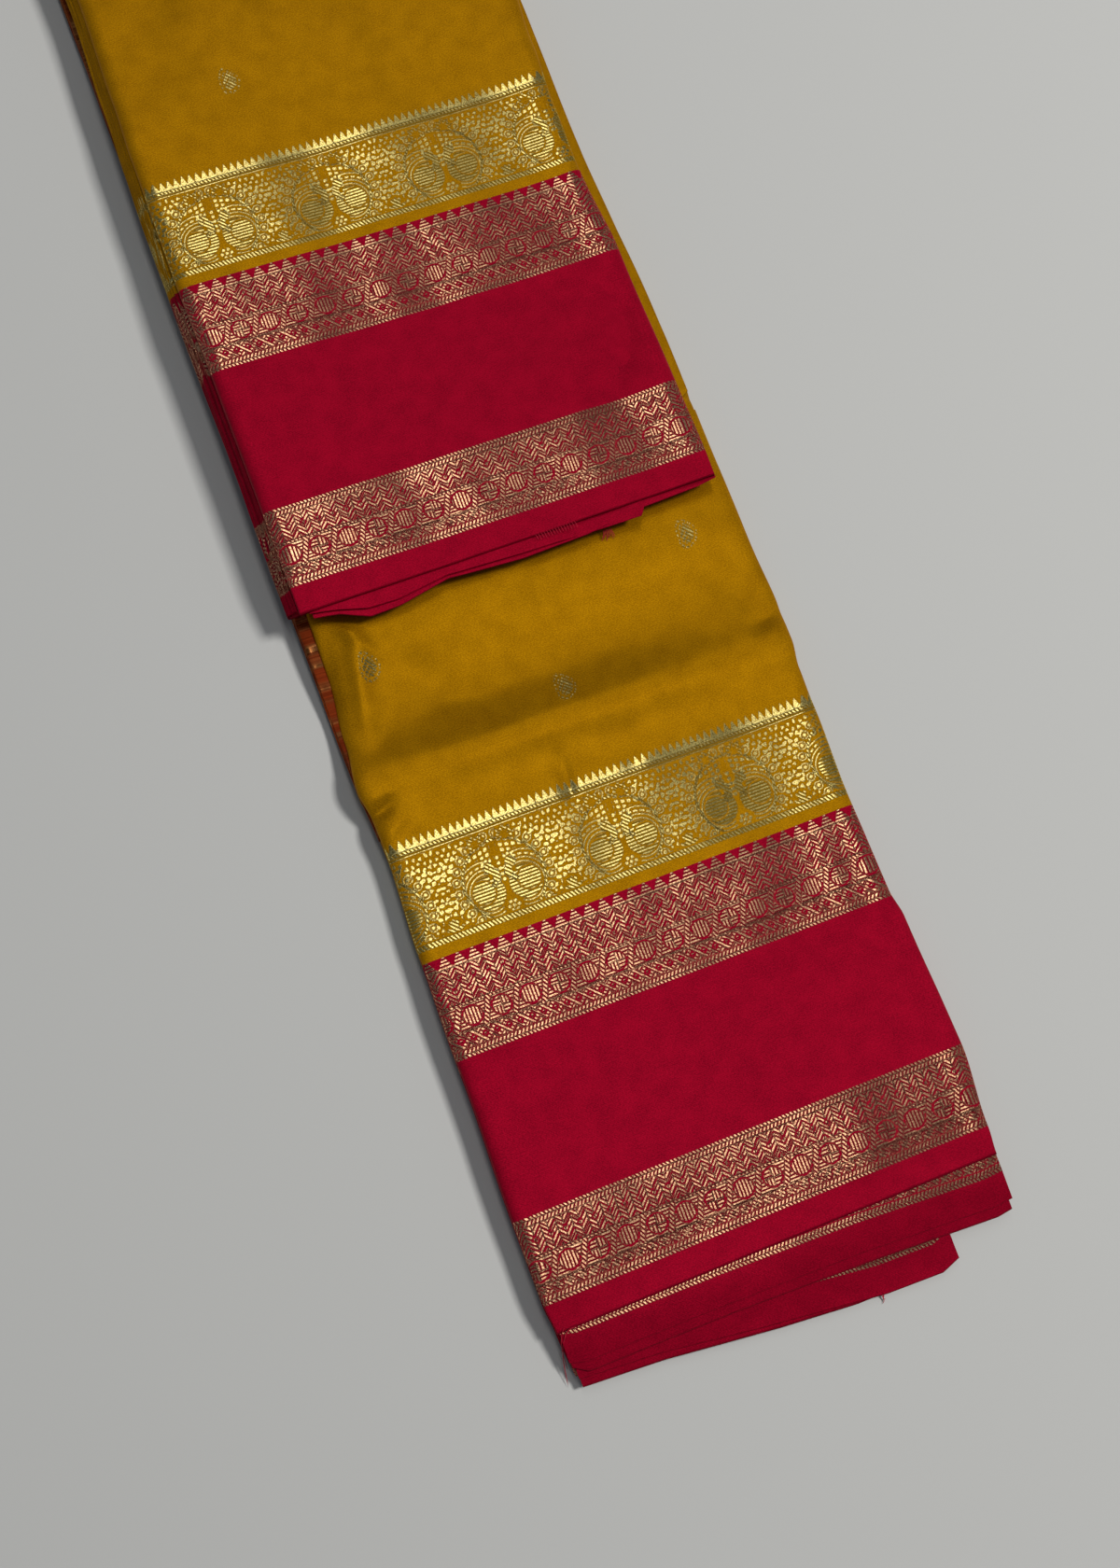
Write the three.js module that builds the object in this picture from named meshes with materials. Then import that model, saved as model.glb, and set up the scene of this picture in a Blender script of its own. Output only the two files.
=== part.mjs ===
// A silk saree folded for the shelf, lying flat.
//
// The 6.24 m length is first folded into a strip of 32 plies, one hand-span wide. The strip is as long
// as the cloth is wide, from selvedge to selvedge, and is then folded over once, so that the far border
// comes to lie on top, some way above the near one. Only the outside plies show. The plies between them
// are one rounded solid with layered edges.
//
// Millimetres. X runs across the strip, Y along it towards the turn, Z up from the surface it lies on.

import * as THREE from "three";

// Driving sizes
const CLOTH_WIDTH = 1170; // from selvedge to selvedge
const SELVEDGE_STEP = 314; // the upper selvedge lies this far above the lower one
const STACK = 12; // thickness of the 32 plies of one run
const WALL = 1.2; // one outside ply, with the plies that lie tight against it
const GAP = 0.3; // between neighbouring pieces at a seam
const SLACK = 0.5; // between an outside ply and the plies inside it
const SLIT = 0.6; // half the space between the lower run and the upper one
const CURL_WIDTH = 6; // an outside ply turns down over its long edges: how far in this starts
const CURL_DEPTH = 2.4; // and how far down it reaches
const TURN_PUFF = 0.12; // the plies spring apart by this share at the turn
const PUFF_START = 620; // from this far along

const TUCK = 36; // the inside ply's solid ends this far under the upper run
const LOOSE_TUCK = 25; // the loose plies' solids reach this far in from the selvedges
const PALLU_START = 214; // the pallu's folded edges stand out on the left from here
const PALLU_END = 725; // to here
const PALLU_WIDTH = 8.5;
const PALLU_HEADROOM = 2.6; // between its top and the top of the run
const UNDER_START = -17; // the lowest ply sticks out this far past the selvedge above

// The woven border, from the selvedge inwards
const MARGIN = 12;
const NARROW_BAND = 35;
const PLAIN_RED = 68;
const WIDE_BAND = 42.5;
const RED_BORDER = MARGIN + NARROW_BAND + PLAIN_RED + WIDE_BAND;

// The strip before it is folded over: `s` runs along it from the lower selvedge, `h` up through its plies.
const TURN_LENGTH = (Math.PI * (STACK + 2 * SLIT)) / 2;
const TURN_START = (CLOTH_WIDTH + SELVEDGE_STEP - TURN_LENGTH) / 2;
const TURN_END = TURN_START + TURN_LENGTH;
const FAR_SELVEDGE = CLOTH_WIDTH;

// Long edges of the outside plies, seen from above. Lower run first, then upper run.
const lowerOutline = [
  { y: -36, left: -97, right: 66 },
  { y: -24, left: -97.5, right: 67 },
  { y: -21, left: -98, right: 94 },
  { y: 0, left: -99.5, right: 97 },
  { y: 12, left: -100.5, right: 98 },
  { y: 47, left: -100.5, right: 101.5 },
  { y: 105, left: -99, right: 100.6 },
  { y: 118, left: -99, right: 98.8 },
  { y: 162, left: -98, right: 98.8 },
  { y: 205, left: -96, right: 100.5 },
  { y: 222, left: -96.3, right: 101 },
  { y: 236, left: -98.3, right: 103 },
  { y: 259, left: -95.7, right: 104.3 },
  { y: 289, left: -92.6, right: 103.6 },
  { y: 325, left: -92, right: 103.8 },
  { y: 390, left: -93, right: 105 },
  { y: 500, left: -94, right: 102.8 },
  { y: 575, left: -94, right: 104.6 },
  { y: 750, left: -94, right: 103 },
];
const upperOutline = [
  { y: 314, left: -95.4, right: 97 },
  { y: 430, left: -95, right: 97 },
  { y: 475, left: -95.4, right: 94.6 },
  { y: 505, left: -95, right: 95.4 },
  { y: 540, left: -94.4, right: 97.6 },
  { y: 572, left: -93.2, right: 100 },
  { y: 626, left: -91.6, right: 101.5 },
  { y: 750, left: -93, right: 101 },
];

// Share of its full thickness that each run keeps towards its free end, where its plies settle.
const lowerSettling = [
  { y: -38, kept: 0.42 },
  { y: 2, kept: 0.86 },
  { y: 45, kept: 1 },
];
const upperSettling = [
  { y: SELVEDGE_STEP - 16, kept: 0.72 },
  { y: SELVEDGE_STEP + 34, kept: 1 },
];

// Soft troughs (negative depth) and ridges of the top surfaces. `turn` is measured from across the strip.
const lowerFolds = [
  { x: 0, y: 270, turn: 0, length: 260, width: 15, depth: -2.6 },
  { x: 0, y: 229, turn: -1, length: 250, width: 13, depth: 1.9 },
  { x: -86, y: 288, turn: 84, length: 62, width: 6, depth: -2.4 },
  { x: -66, y: 300, turn: -52, length: 34, width: 4, depth: 1.2 },
  { x: 84, y: 262, turn: 62, length: 44, width: 8, depth: -1.3 },
  { x: 92, y: 218, turn: 20, length: 26, width: 4, depth: 1.1 },
  { x: -84, y: 214, turn: -24, length: 30, width: 5, depth: 1.3 },
  { x: -30, y: 84, turn: 8, length: 120, width: 22, depth: -0.7 },
  { x: 48, y: 66, turn: -12, length: 110, width: 20, depth: 0.7 },
  { x: 62, y: 128, turn: 30, length: 60, width: 14, depth: -0.8 },
];
const upperFolds = [
  { x: 84, y: 388, turn: 72, length: 52, width: 9, depth: -1.5 },
  { x: 48, y: 416, turn: 60, length: 40, width: 11, depth: -0.8 },
  { x: -58, y: 402, turn: 80, length: 90, width: 18, depth: 0.9 },
  { x: 10, y: 372, turn: 10, length: 120, width: 20, depth: 0.8 },
  { x: 34, y: 590, turn: 86, length: 130, width: 9, depth: -1.1 },
  { x: -14, y: 604, turn: 94, length: 150, width: 10, depth: -0.9 },
  { x: -56, y: 640, turn: 82, length: 120, width: 12, depth: -1.1 },
  { x: 66, y: 660, turn: 98, length: 110, width: 11, depth: -1.2 },
  { x: 6, y: 700, turn: 4, length: 190, width: 14, depth: 1.2 },
];

// Share of the way from `a` to `b` that `value` has gone, easing in and out.
function ease(value, a, b) {
  const t = Math.min(1, Math.max(0, (value - a) / (b - a)));
  return t * t * (3 - 2 * t);
}

function mix(a, b, share) {
  return a + (b - a) * share;
}

// What a table says at `y`, eased between its rows.
function tableAt(table, y) {
  const after = table.find((row) => row.y >= y) ?? table[table.length - 1];
  const before = table[Math.max(0, table.indexOf(after) - 1)];
  const share = after === before ? 0 : ease(y, before.y, after.y);
  const entries = Object.keys(after).map((key) => [key, mix(before[key], after[key], share)]);
  return Object.fromEntries(entries);
}

// Height that a list of folds adds at a point of a top surface.
function foldHeight(folds, x, y) {
  return folds.reduce((sum, fold) => {
    const turn = THREE.MathUtils.degToRad(fold.turn);
    const along = (x - fold.x) * Math.cos(turn) + (y - fold.y) * Math.sin(turn);
    const aside = (y - fold.y) * Math.cos(turn) - (x - fold.x) * Math.sin(turn);
    const fade = 1 - ease(Math.abs(along), fold.length * 0.3, fold.length * 0.62);
    return sum + fold.depth * fade * Math.exp(-((aside / fold.width) ** 2));
  }, 0);
}

// Share of a fold's height that reaches a ply at this depth under the top one.
function carried(depth) {
  return Math.min(1, (STACK - depth) / (STACK - WALL - SLACK));
}

// How far along Y a point of the strip ends up, ignoring the small radius of the turn.
function yOf(s) {
  if (s <= TURN_START) return s;
  return s >= TURN_END ? TURN_START - (s - TURN_END) : TURN_START;
}

// Long edges of the outside ply at `s`, on whichever run it lies.
function outsideEdges(s) {
  const low = tableAt(lowerOutline, yOf(s));
  const high = tableAt(upperOutline, yOf(s));
  const share = ease(s, TURN_START - 20, TURN_END + 20);
  return { left: mix(low.left, high.left, share), right: mix(low.right, high.right, share) };
}

// Places a point of the flat strip: lays the part past the turn back over the first part, then lets the
// cloth settle at both free ends, spring up at the turn and take its soft folds.
function foldOver(x, s, h) {
  const middle = STACK + SLIT;
  const reach = middle - h;
  const angle = (Math.PI * Math.min(TURN_LENGTH, Math.max(0, s - TURN_START))) / TURN_LENGTH;
  const y = yOf(s) + reach * Math.sin(angle);
  let z = middle - reach * Math.cos(angle);
  if (s < TURN_START) {
    z = z * tableAt(lowerSettling, y).kept + foldHeight(lowerFolds, x, y) * carried(STACK - h);
  } else if (s > TURN_END) {
    const settled = middle + (z - middle) * tableAt(upperSettling, y).kept;
    z = settled + foldHeight(upperFolds, x, y) * carried(h);
  }
  return [x, y, z * (1 + TURN_PUFF * ease(y, PUFF_START, TURN_START))];
}

// A closed block of cloth: a box with one row of points for each value of `across`, `along` and
// `through`, whose points `place` then moves to where the cloth lies.
function block(name, material, across, along, through, place) {
  const counts = [across, along, through].map((values) => values.length - 1);
  const geometry = new THREE.BoxGeometry(1, 1, 1, ...counts);
  const position = geometry.attributes.position;
  const pick = (values, share) => values[Math.round((share + 0.5) * (values.length - 1))];
  for (let i = 0; i < position.count; i += 1) {
    const a = pick(across, position.getX(i));
    const s = pick(along, position.getY(i));
    const h = pick(through, position.getZ(i));
    position.setXYZ(i, ...place(a, s, h));
  }
  geometry.computeVertexNormals();
  const mesh = new THREE.Mesh(geometry, material);
  mesh.name = name;
  return mesh;
}

// Values from `from` on, through rows of { to, count } with `count` equal steps up to `to`.
function stretches(from, rows) {
  return rows.reduce((all, { to, count }) => {
    const start = all[all.length - 1];
    return [...all, ...Array.from({ length: count }, (_, i) => mix(start, to, (i + 1) / count))];
  }, [from]);
}

// Rows of points along the strip. Stacked pieces share them, which keeps their gaps even.
const ROWS = stretches(0, [
  { to: PALLU_START - 7, count: 9 },
  { to: 300, count: 9 },
  { to: SELVEDGE_STEP + TUCK + 6, count: 3 },
  { to: TURN_START, count: 6 },
  { to: TURN_END, count: 8 },
  { to: FAR_SELVEDGE - 150, count: 14 },
  { to: FAR_SELVEDGE, count: 9 },
]);

function rowsBetween(from, to) {
  return [from, ...ROWS.filter((s) => s > from + 1 && s < to - 1), to];
}

// Columns across an outside ply: up to 1 lies flat, the rest goes over the edge.
const FLAT_COLUMNS = [0, 0.25, 0.5, 0.72, 0.84, 0.93];
const CURL_COLUMNS = [1, 1.33, 1.66, 2];

function mirrored(columns) {
  return [...columns.filter((c) => c > 0).map((c) => -c).reverse(), ...columns];
}

// The curl of an outside ply fades out at the selvedges, where the cloth lies open.
function curlDepth(s) {
  return CURL_DEPTH * mix(0.12, 1, ease(Math.min(s, FAR_SELVEDGE - s), 0, 40));
}

// A point of an outside ply, `depth` under its outer face. Returns x and the depth it ends up at.
function curledPoint(column, s, depth) {
  const { left, right } = outsideEdges(s);
  const inset = WALL / 2 + CURL_WIDTH;
  if (Math.abs(column) <= 1) {
    return [mix(left + inset, right - inset, (column + 1) / 2), depth];
  }
  const drop = curlDepth(s);
  const out = WALL / 2 - depth;
  const side = Math.sign(column);
  const angle = ((Math.abs(column) - 1) * Math.PI) / 2;
  const normal = new THREE.Vector2(Math.sin(angle) / CURL_WIDTH, Math.cos(angle) / drop).normalize();
  const start = side < 0 ? left + inset : right - inset;
  const x = start + side * (CURL_WIDTH * Math.sin(angle) + out * normal.x);
  return [x, WALL / 2 + drop * (1 - Math.cos(angle)) - out * normal.y];
}

// A stretch of the ply on the outside of the fold, which lies under the lower run, goes round the turn
// and lies on top of the upper run.
function outerPly(name, material, from, to) {
  const across = mirrored([...FLAT_COLUMNS, ...CURL_COLUMNS]);
  return block(name, material, across, rowsBetween(from, to), [0, WALL], (column, s, h) => {
    const [x, depth] = curledPoint(column, s, h);
    return foldOver(x, s, depth);
  });
}

// A stretch of the ply on the inside of the fold, which shows on top of the lower run.
function innerPly(name, material, from, to) {
  const across = mirrored([...FLAT_COLUMNS, ...CURL_COLUMNS]);
  return block(name, material, across, rowsBetween(from, to), [0, WALL], (column, s, h) => {
    const [x, depth] = curledPoint(column, s, WALL - h);
    return foldOver(x, s, STACK - depth);
  });
}

// How far a hidden ply stays in from the edge of an outside ply, at a depth under that ply's outer face.
function underCurl(s, depth) {
  const drop = curlDepth(s);
  const centre = WALL / 2 + drop;
  const clear = WALL / 2 + SLACK;
  if (depth > centre + clear) return 0;
  const rise = Math.min(1, Math.max(0, centre - depth) / Math.max(drop - clear, 0.1));
  return WALL / 2 + CURL_WIDTH - (CURL_WIDTH - clear) * Math.sqrt(1 - rise * rise);
}

// Where a ply's edge can lie, at this height, without meeting the outside plies that curl over it.
function freeEdge(side, s, h) {
  const { left, right } = outsideEdges(s);
  const underTop = s < SELVEDGE_STEP + TUCK + 6 ? underCurl(s, STACK - h) : 0;
  const inset = Math.max(underCurl(s, h), underTop);
  return { edge: side < 0 ? left + inset : right - inset, covered: inset > 0 };
}

// Outer side of the pallu's folded edges.
function palluSide(s) {
  return mix(-97, -98.6, ease(s, PALLU_START, PALLU_START + 30));
}

// The long edge of the hidden plies at one level: every other level is a fold that stands out.
function layeredEdge(side, s, h, level) {
  const { edge, covered } = freeEdge(side, s, h);
  if (side < 0 && s > PALLU_START - 8 && s < PALLU_END + 3 && h < STACK - PALLU_HEADROOM) {
    const besidePallu = palluSide(s) + PALLU_WIDTH + GAP + (level % 2 ? 0.5 : 0);
    return covered ? Math.max(besidePallu, edge + SLACK) : besidePallu;
  }
  if (covered) return edge - side * SLACK;
  const wander = 0.35 * Math.sin(s / 41 + level * 2.3 + side) + 0.25 * Math.sin(s / 17 + level * 1.1);
  const standsBack = level % 2 ? 0.4 : 1.7;
  const leansOut = side < 0 ? 5.2 * ease(s, TURN_START, TURN_END) * ease(h, 3, 9) : 0;
  return edge - side * (standsBack + wander + leansOut * side);
}

// The hidden plies leave room for the outside plies and, at the selvedges, for the loose plies.
function hiddenBottom(s) {
  const looseStart = FAR_SELVEDGE - LOOSE_TUCK;
  return WALL + SLACK + 2 * (WALL + GAP) * ease(s, looseStart - 5, looseStart - 2);
}

function hiddenTop(s) {
  const underInside = STACK - WALL - SLACK;
  const atSelvedge = underInside - 2 * (WALL + GAP);
  const raised = mix(atSelvedge, underInside, ease(s, LOOSE_TUCK + 2, LOOSE_TUCK + 5));
  return mix(raised, STACK, ease(s, SELVEDGE_STEP + TUCK + 2, SELVEDGE_STEP + TUCK + 5));
}

const HIDDEN_LEVELS = [0, 0.08, 0.18, 0.29, 0.4, 0.5, 0.6, 0.7, 0.8, 0.92, 1];
const HIDDEN_LOWER_END = { left: -19, right: -31, shorterRight: 28 };

// The plies that never come to the surface, as one solid that shows only along its edges.
function hiddenPlies(name, material) {
  const nearExtra = [-1, LOOSE_TUCK + 2, LOOSE_TUCK + 5, SELVEDGE_STEP + TUCK + 2, PALLU_END + 2];
  const farExtra = [FAR_SELVEDGE - LOOSE_TUCK - 5, FAR_SELVEDGE - LOOSE_TUCK - 2, FAR_SELVEDGE - 3];
  const shared = ROWS.filter((s) => s < FAR_SELVEDGE - LOOSE_TUCK - 6);
  const along = [...nearExtra, ...farExtra, ...shared].sort((a, b) => a - b);
  const across = [-2, ...mirrored(FLAT_COLUMNS), 2];
  const levels = HIDDEN_LEVELS.map((_, i) => i);
  return block(name, material, across, along, levels, (column, row, level) => {
    const end = mix(HIDDEN_LOWER_END.left, HIDDEN_LOWER_END.right, (column + 2) / 4);
    const s = row < 0 ? end : row;
    const h = mix(hiddenBottom(s), hiddenTop(s), HIDDEN_LEVELS[level]);
    const left = layeredEdge(-1, s, h, level);
    const right = layeredEdge(1, s, h, level) - (row < 0 ? HIDDEN_LOWER_END.shorterRight : 0);
    const inset = WALL / 2 + CURL_WIDTH;
    const edges = outsideEdges(s);
    const inside = mix(edges.left + inset, edges.right - inset, (column + 1) / 2);
    if (Math.abs(column) > 1) return foldOver(column < 0 ? left : right, s, h);
    return foldOver(row < 0 ? mix(left, right, (column + 1) / 2) : inside, s, h);
  });
}

// A loose ply that stands out past the one above it at a free end: `ends` gives how far out past the
// selvedge it reaches at each x. Inside the selvedge it keeps clear of the outside ply's curl.
function loosePly(name, material, h, selvedge, ends) {
  const outwards = selvedge > 0 ? 1 : -1;
  const rows = [0, 0.25, 0.5, 0.75, 1];
  const along = outwards > 0 ? rows : [...rows].reverse();
  const through = [h, h + WALL];
  const columns = ends.map((_, i) => i);
  return block(name, material, columns, along, through, (column, share, height) => {
    const { x, out } = ends[column];
    const s = selvedge + outwards * mix(-LOOSE_TUCK, out, share);
    const inside = Math.max(0, (selvedge - s) * outwards);
    const side = Math.sign(x);
    const tuck = column === 0 || column === ends.length - 1 ? 9 * ease(inside, 0, 12) : 0;
    return foldOver(x - side * tuck, s, height);
  });
}

// Folded edges of the pallu's plies, which stand out along the left of the lower run.
function palluEdges(name, material) {
  const low = CURL_DEPTH + WALL / 2 + 2 * SLACK;
  const levels = stretches(low, [{ to: STACK - low - 0.4, count: 5 }]);
  const along = rowsBetween(PALLU_START, PALLU_END);
  return block(name, material, [0, 0.45, 1], along, levels, (share, s, h) => {
    const level = levels.indexOf(h);
    const wander = 0.5 * Math.sin(s / 23 + level * 1.7);
    const outer = palluSide(s) + 0.6 + wander + (level % 2 ? 0 : 0.9);
    return foldOver(mix(outer, palluSide(s) + PALLU_WIDTH, share), s, h);
  });
}

// How far each loose ply stands out past the selvedge above it.
const lowerSecondEnd = [
  { x: -98.5, out: 14.5 },
  { x: -92, out: 18 },
  { x: -30, out: 18.5 },
  { x: 30, out: 20.5 },
  { x: 88, out: 23.8 },
  { x: 95.5, out: 20.5 },
];
const lowerThirdEnd = [
  { x: -97, out: 22.5 },
  { x: -62, out: 24.9 },
  { x: -13, out: 31 },
  { x: 33, out: 35.6 },
  { x: 58, out: 36.1 },
  { x: 66.5, out: 33 },
];
const upperSecondEnd = [
  { x: -91, out: 0 },
  { x: -79, out: 4.4 },
  { x: -67, out: 9.6 },
  { x: -53, out: 9.2 },
  { x: -30, out: 4.9 },
  { x: 4, out: 7.2 },
  { x: 60, out: 6.5 },
  { x: 63, out: 2.8 },
  { x: 94, out: 0.5 },
];
const upperThirdEnd = [
  { x: -90, out: 2.5 },
  { x: -60, out: 5.5 },
  { x: 0, out: 3.5 },
  { x: 60, out: 3 },
  { x: 86, out: 1 },
];

function cloth(color, roughness) {
  return new THREE.MeshStandardMaterial({ color, roughness, metalness: 0 });
}

// All pieces, with the middle of their footprint at the origin.
function foldedSaree() {
  const mustard = cloth(0xb98207, 0.5);
  const red = cloth(0x9c0a2a, 0.55);
  const rust = cloth(0x8c3a16, 0.55);
  const plies = cloth(0x8f5a0c, 0.65);
  const step = WALL + GAP;
  const farBorder = FAR_SELVEDGE - RED_BORDER;
  const saree = new THREE.Group();
  saree.add(
    hiddenPlies("hidden_plies", plies),
    outerPly("outer_border_under", red, UNDER_START, RED_BORDER - GAP),
    outerPly("outer_body_under", mustard, RED_BORDER, TURN_START - GAP),
    outerPly("outer_body_top", mustard, TURN_START, farBorder),
    outerPly("outer_border_top", red, farBorder + GAP, FAR_SELVEDGE),
    innerPly("inner_body", mustard, RED_BORDER, SELVEDGE_STEP + TUCK),
    innerPly("inner_border", red, 0, RED_BORDER - GAP),
    loosePly("lower_second_ply", red, STACK - WALL - step, 0, lowerSecondEnd),
    loosePly("lower_third_ply", red, STACK - WALL - 2 * step, 0, lowerThirdEnd),
    loosePly("upper_second_ply", red, step, FAR_SELVEDGE, upperSecondEnd),
    loosePly("upper_third_ply", red, 2 * step, FAR_SELVEDGE, upperThirdEnd),
    palluEdges("pallu_edges", rust),
  );
  const centre = new THREE.Box3().setFromObject(saree, true).getCenter(new THREE.Vector3());
  saree.position.set(-centre.x, -centre.y, 0);
  const part = new THREE.Group();
  part.add(saree);
  return part;
}

export default foldedSaree();
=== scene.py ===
"""A silk saree, folded in a strip of plies and turned over once, lying flat.

The cloth is worked out in millimetres on the flat strip: x runs across it, s runs along it from the lower
selvedge, round the turn, to the upper selvedge, and h counts up through its plies. Strip.place lays the
strip back over itself and gives it its soft folds. Every sheet is a fine grid on that strip, with its UV map
in millimetres on the cloth, so that the woven figures follow every fold.
"""

import logging
import math
from dataclasses import dataclass, field
from enum import Enum
from typing import Callable, Optional, Sequence, Union

import bpy
import numpy as np
from mathutils import Matrix, Vector


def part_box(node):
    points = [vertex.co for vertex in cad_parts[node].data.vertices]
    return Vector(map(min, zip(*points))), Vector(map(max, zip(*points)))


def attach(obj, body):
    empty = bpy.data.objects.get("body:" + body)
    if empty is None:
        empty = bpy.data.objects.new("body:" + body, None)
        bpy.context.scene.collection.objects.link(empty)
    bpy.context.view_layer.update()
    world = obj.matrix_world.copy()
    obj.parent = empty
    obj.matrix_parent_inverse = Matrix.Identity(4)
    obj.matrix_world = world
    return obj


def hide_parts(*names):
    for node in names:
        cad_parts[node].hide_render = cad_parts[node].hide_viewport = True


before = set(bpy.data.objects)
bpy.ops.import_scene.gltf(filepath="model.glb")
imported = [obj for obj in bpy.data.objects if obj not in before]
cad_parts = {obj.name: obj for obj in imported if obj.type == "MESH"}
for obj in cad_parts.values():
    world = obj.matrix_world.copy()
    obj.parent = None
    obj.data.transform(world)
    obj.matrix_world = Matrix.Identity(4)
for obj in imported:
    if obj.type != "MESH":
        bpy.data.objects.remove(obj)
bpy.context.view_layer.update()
LOG = logging.getLogger("saree")
MM = 0.001
# Distance in metres under which two points are one.
MERGE = 0.000002
Array = np.ndarray
Pair = tuple[float, float]
Table = Sequence[tuple[float, ...]]
# x, y and z in space, then u across the cloth and v from the nearest selvedge, all in millimetres.
Laid = tuple[Array, Array, Array, Array, Array]
Looks = dict[str, bpy.types.Material]


def ease(value: Array, low: float, high: float) -> Array:
    """Share of the way from low to high, easing in and out.

    Args:
        value: where it is asked.
        low: where the share is 0.
        high: where the share is 1.

    Returns:
        The share, from 0 to 1.
    """
    t = np.clip((value - low) / (high - low), 0, 1)
    return t * t * (3 - 2 * t)


def eased_row(table: Table, at: Array) -> list[Array]:
    """Values of a table, eased between its rows.

    Args:
        table: rows that start with a place, in rising order.
        at: the places asked for.

    Returns:
        One array for each column after the first.
    """
    rows = np.array(table, float)
    after = np.clip(np.searchsorted(rows[:, 0], at), 0, len(rows) - 1)
    before = np.maximum(after - 1, 0)
    span = np.where(after == before, 1, rows[after, 0] - rows[before, 0])
    share = ease((at - rows[before, 0]) / span, 0, 1)
    return [rows[before, k] + (rows[after, k] - rows[before, k]) * share for k in range(1, rows.shape[1])]


@dataclass(frozen=True)
class Fold:
    """A soft trough (negative depth) or ridge of a top surface.

    turn is its direction in degrees from across the strip, width its half-width and length its full length.
    It keeps its depth within a tenth of its length from the middle, and is gone just past its ends.
    """

    x: float
    y: float
    turn: float
    length: float
    width: float
    depth: float

    def height(self, x: Array, y: Array) -> Array:
        """Height that it adds at each point.

        Args:
            x: across the strip, in millimetres.
            y: along the strip, in millimetres.

        Returns:
            The height in millimetres.
        """
        c, s = math.cos(math.radians(self.turn)), math.sin(math.radians(self.turn))
        along = (x - self.x) * c + (y - self.y) * s
        aside = (y - self.y) * c - (x - self.x) * s
        fade = 1 - ease(np.abs(along), self.length * 0.1, self.length * 0.62)
        return self.depth * fade * np.exp(-((aside / self.width) ** 2))


LOWER_FOLDS = (
    Fold(-8, 268, 0, 290, 20, -5.2),
    Fold(-8, 237, -1, 290, 12, 3.8),
    Fold(-93, 283, 78, 60, 4, -1.5),
    Fold(-80, 283, 78, 62, 5, 3.0),
    Fold(-76, 300, -56, 34, 3.5, 1.2),
    Fold(-58, 278, -50, 90, 11, -1.5),
    Fold(-10, 292, 40, 80, 9, -0.9),
    Fold(88, 268, -64, 70, 9, -1.1),
    Fold(97, 248, 10, 24, 4, -1.2),
    Fold(99, 231, 60, 20, 3.5, -1.0),
    Fold(-94, 224, 20, 22, 3, -1.8),
    Fold(-88, 217, 30, 24, 4, 1.2),
    Fold(-13, 211, 84, 24, 3, -0.8),
    Fold(18, 214, 70, 22, 4, -0.5),
    Fold(-74, 90, 20, 44, 9, -0.6),
    Fold(-6, 78, -18, 70, 14, -0.7),
    Fold(62, 128, 30, 60, 14, -0.8),
)
UPPER_FOLDS = (
    Fold(80, 388, 60, 90, 10, -2.0),
    Fold(46, 412, 64, 44, 11, -1.0),
    Fold(-58, 402, 80, 90, 18, 0.9),
    Fold(10, 372, 10, 120, 20, 0.8),
    Fold(34, 590, 86, 130, 9, -1.1),
    Fold(-14, 604, 94, 150, 10, -0.9),
    Fold(-56, 640, 82, 120, 12, -1.1),
    Fold(66, 660, 98, 110, 11, -1.2),
    Fold(6, 700, 4, 190, 14, 1.2),
)

# Long edges of the outside plies, seen from above: y, left x, right x.
LOWER_OUTLINE = (
    (-36, -97, 66),
    (-24, -97.5, 67),
    (-21, -98, 94),
    (0, -99.5, 97),
    (12, -100.5, 98),
    (47, -100.5, 101.5),
    (105, -99, 100.6),
    (118, -99, 98.8),
    (162, -98, 98.8),
    (205, -96, 100.5),
    (222, -96.3, 101),
    (236, -98.3, 103),
    (259, -95.7, 104.3),
    (289, -92.6, 103.6),
    (325, -92, 103.8),
    (390, -93, 105),
    (500, -94, 102.8),
    (575, -94, 104.6),
    (750, -94, 103),
)
UPPER_OUTLINE = (
    (314, -95.4, 97),
    (430, -95, 97),
    (475, -95.4, 94.6),
    (505, -95, 95.4),
    (540, -94.4, 97.6),
    (572, -93.2, 100),
    (626, -91.6, 101.5),
    (750, -93, 101),
)

# Slow swells: a place across the cloth, then the slopes there in hundredths.
LOWER_SWELLS = (
    (-98, -12.0, -13.0, -11.0),
    (-88, -4.7, -5.8, -3.6),
    (-70, -6.6, -4.4, -1.1),
    (-48, -4.3, -3.7, -0.4),
    (-28, -2.0, -2.0, 0.2),
    (-15, -1.3, -1.6, -2.6),
    (-4, 1.8, -2.1, 1.5),
    (12, 4.0, -0.2, 0.7),
    (28, 3.7, 1.0, -2.4),
    (42, 3.7, 1.5, -3.6),
    (52, -0.8, 1.6, -3.6),
    (60, -2.6, 1.8, -2.0),
    (68, 1.3, 3.4, 1.4),
    (76, 1.1, 7.5, 4.5),
    (84, 2.8, -2.0, 8.8),
    (93, 10.1, 11.2, 11.2),
    (99, 5.1, 5.1, 5.1),
)
UPPER_SWELLS = (
    (-98, -11.0, -13.0, -12.0),
    (-88, -4.2, -4.7, -2.5),
    (-70, -5.4, -5.5, -1.1),
    (-56, -4.3, -5.4, -1.0),
    (-46, -6.8, -5.1, -4.6),
    (-36, -8.4, -7.6, -8.6),
    (-24, -0.6, -4.6, -6.0),
    (-12, 2.1, -1.8, 3.1),
    (-2, -3.6, -6.6, 3.4),
    (8, -2.4, -3.4, -0.2),
    (16, -1.7, 2.1, -0.6),
    (26, 0.8, -0.4, -2.0),
    (42, 1.0, -0.6, -2.2),
    (58, -1.4, -1.4, 1.0),
    (70, -1.7, -0.2, 2.6),
    (78, 5.0, 4.5, 5.9),
    (87, 9.6, 10.1, 11.8),
    (96, 5.9, 5.9, 5.9),
)


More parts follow.
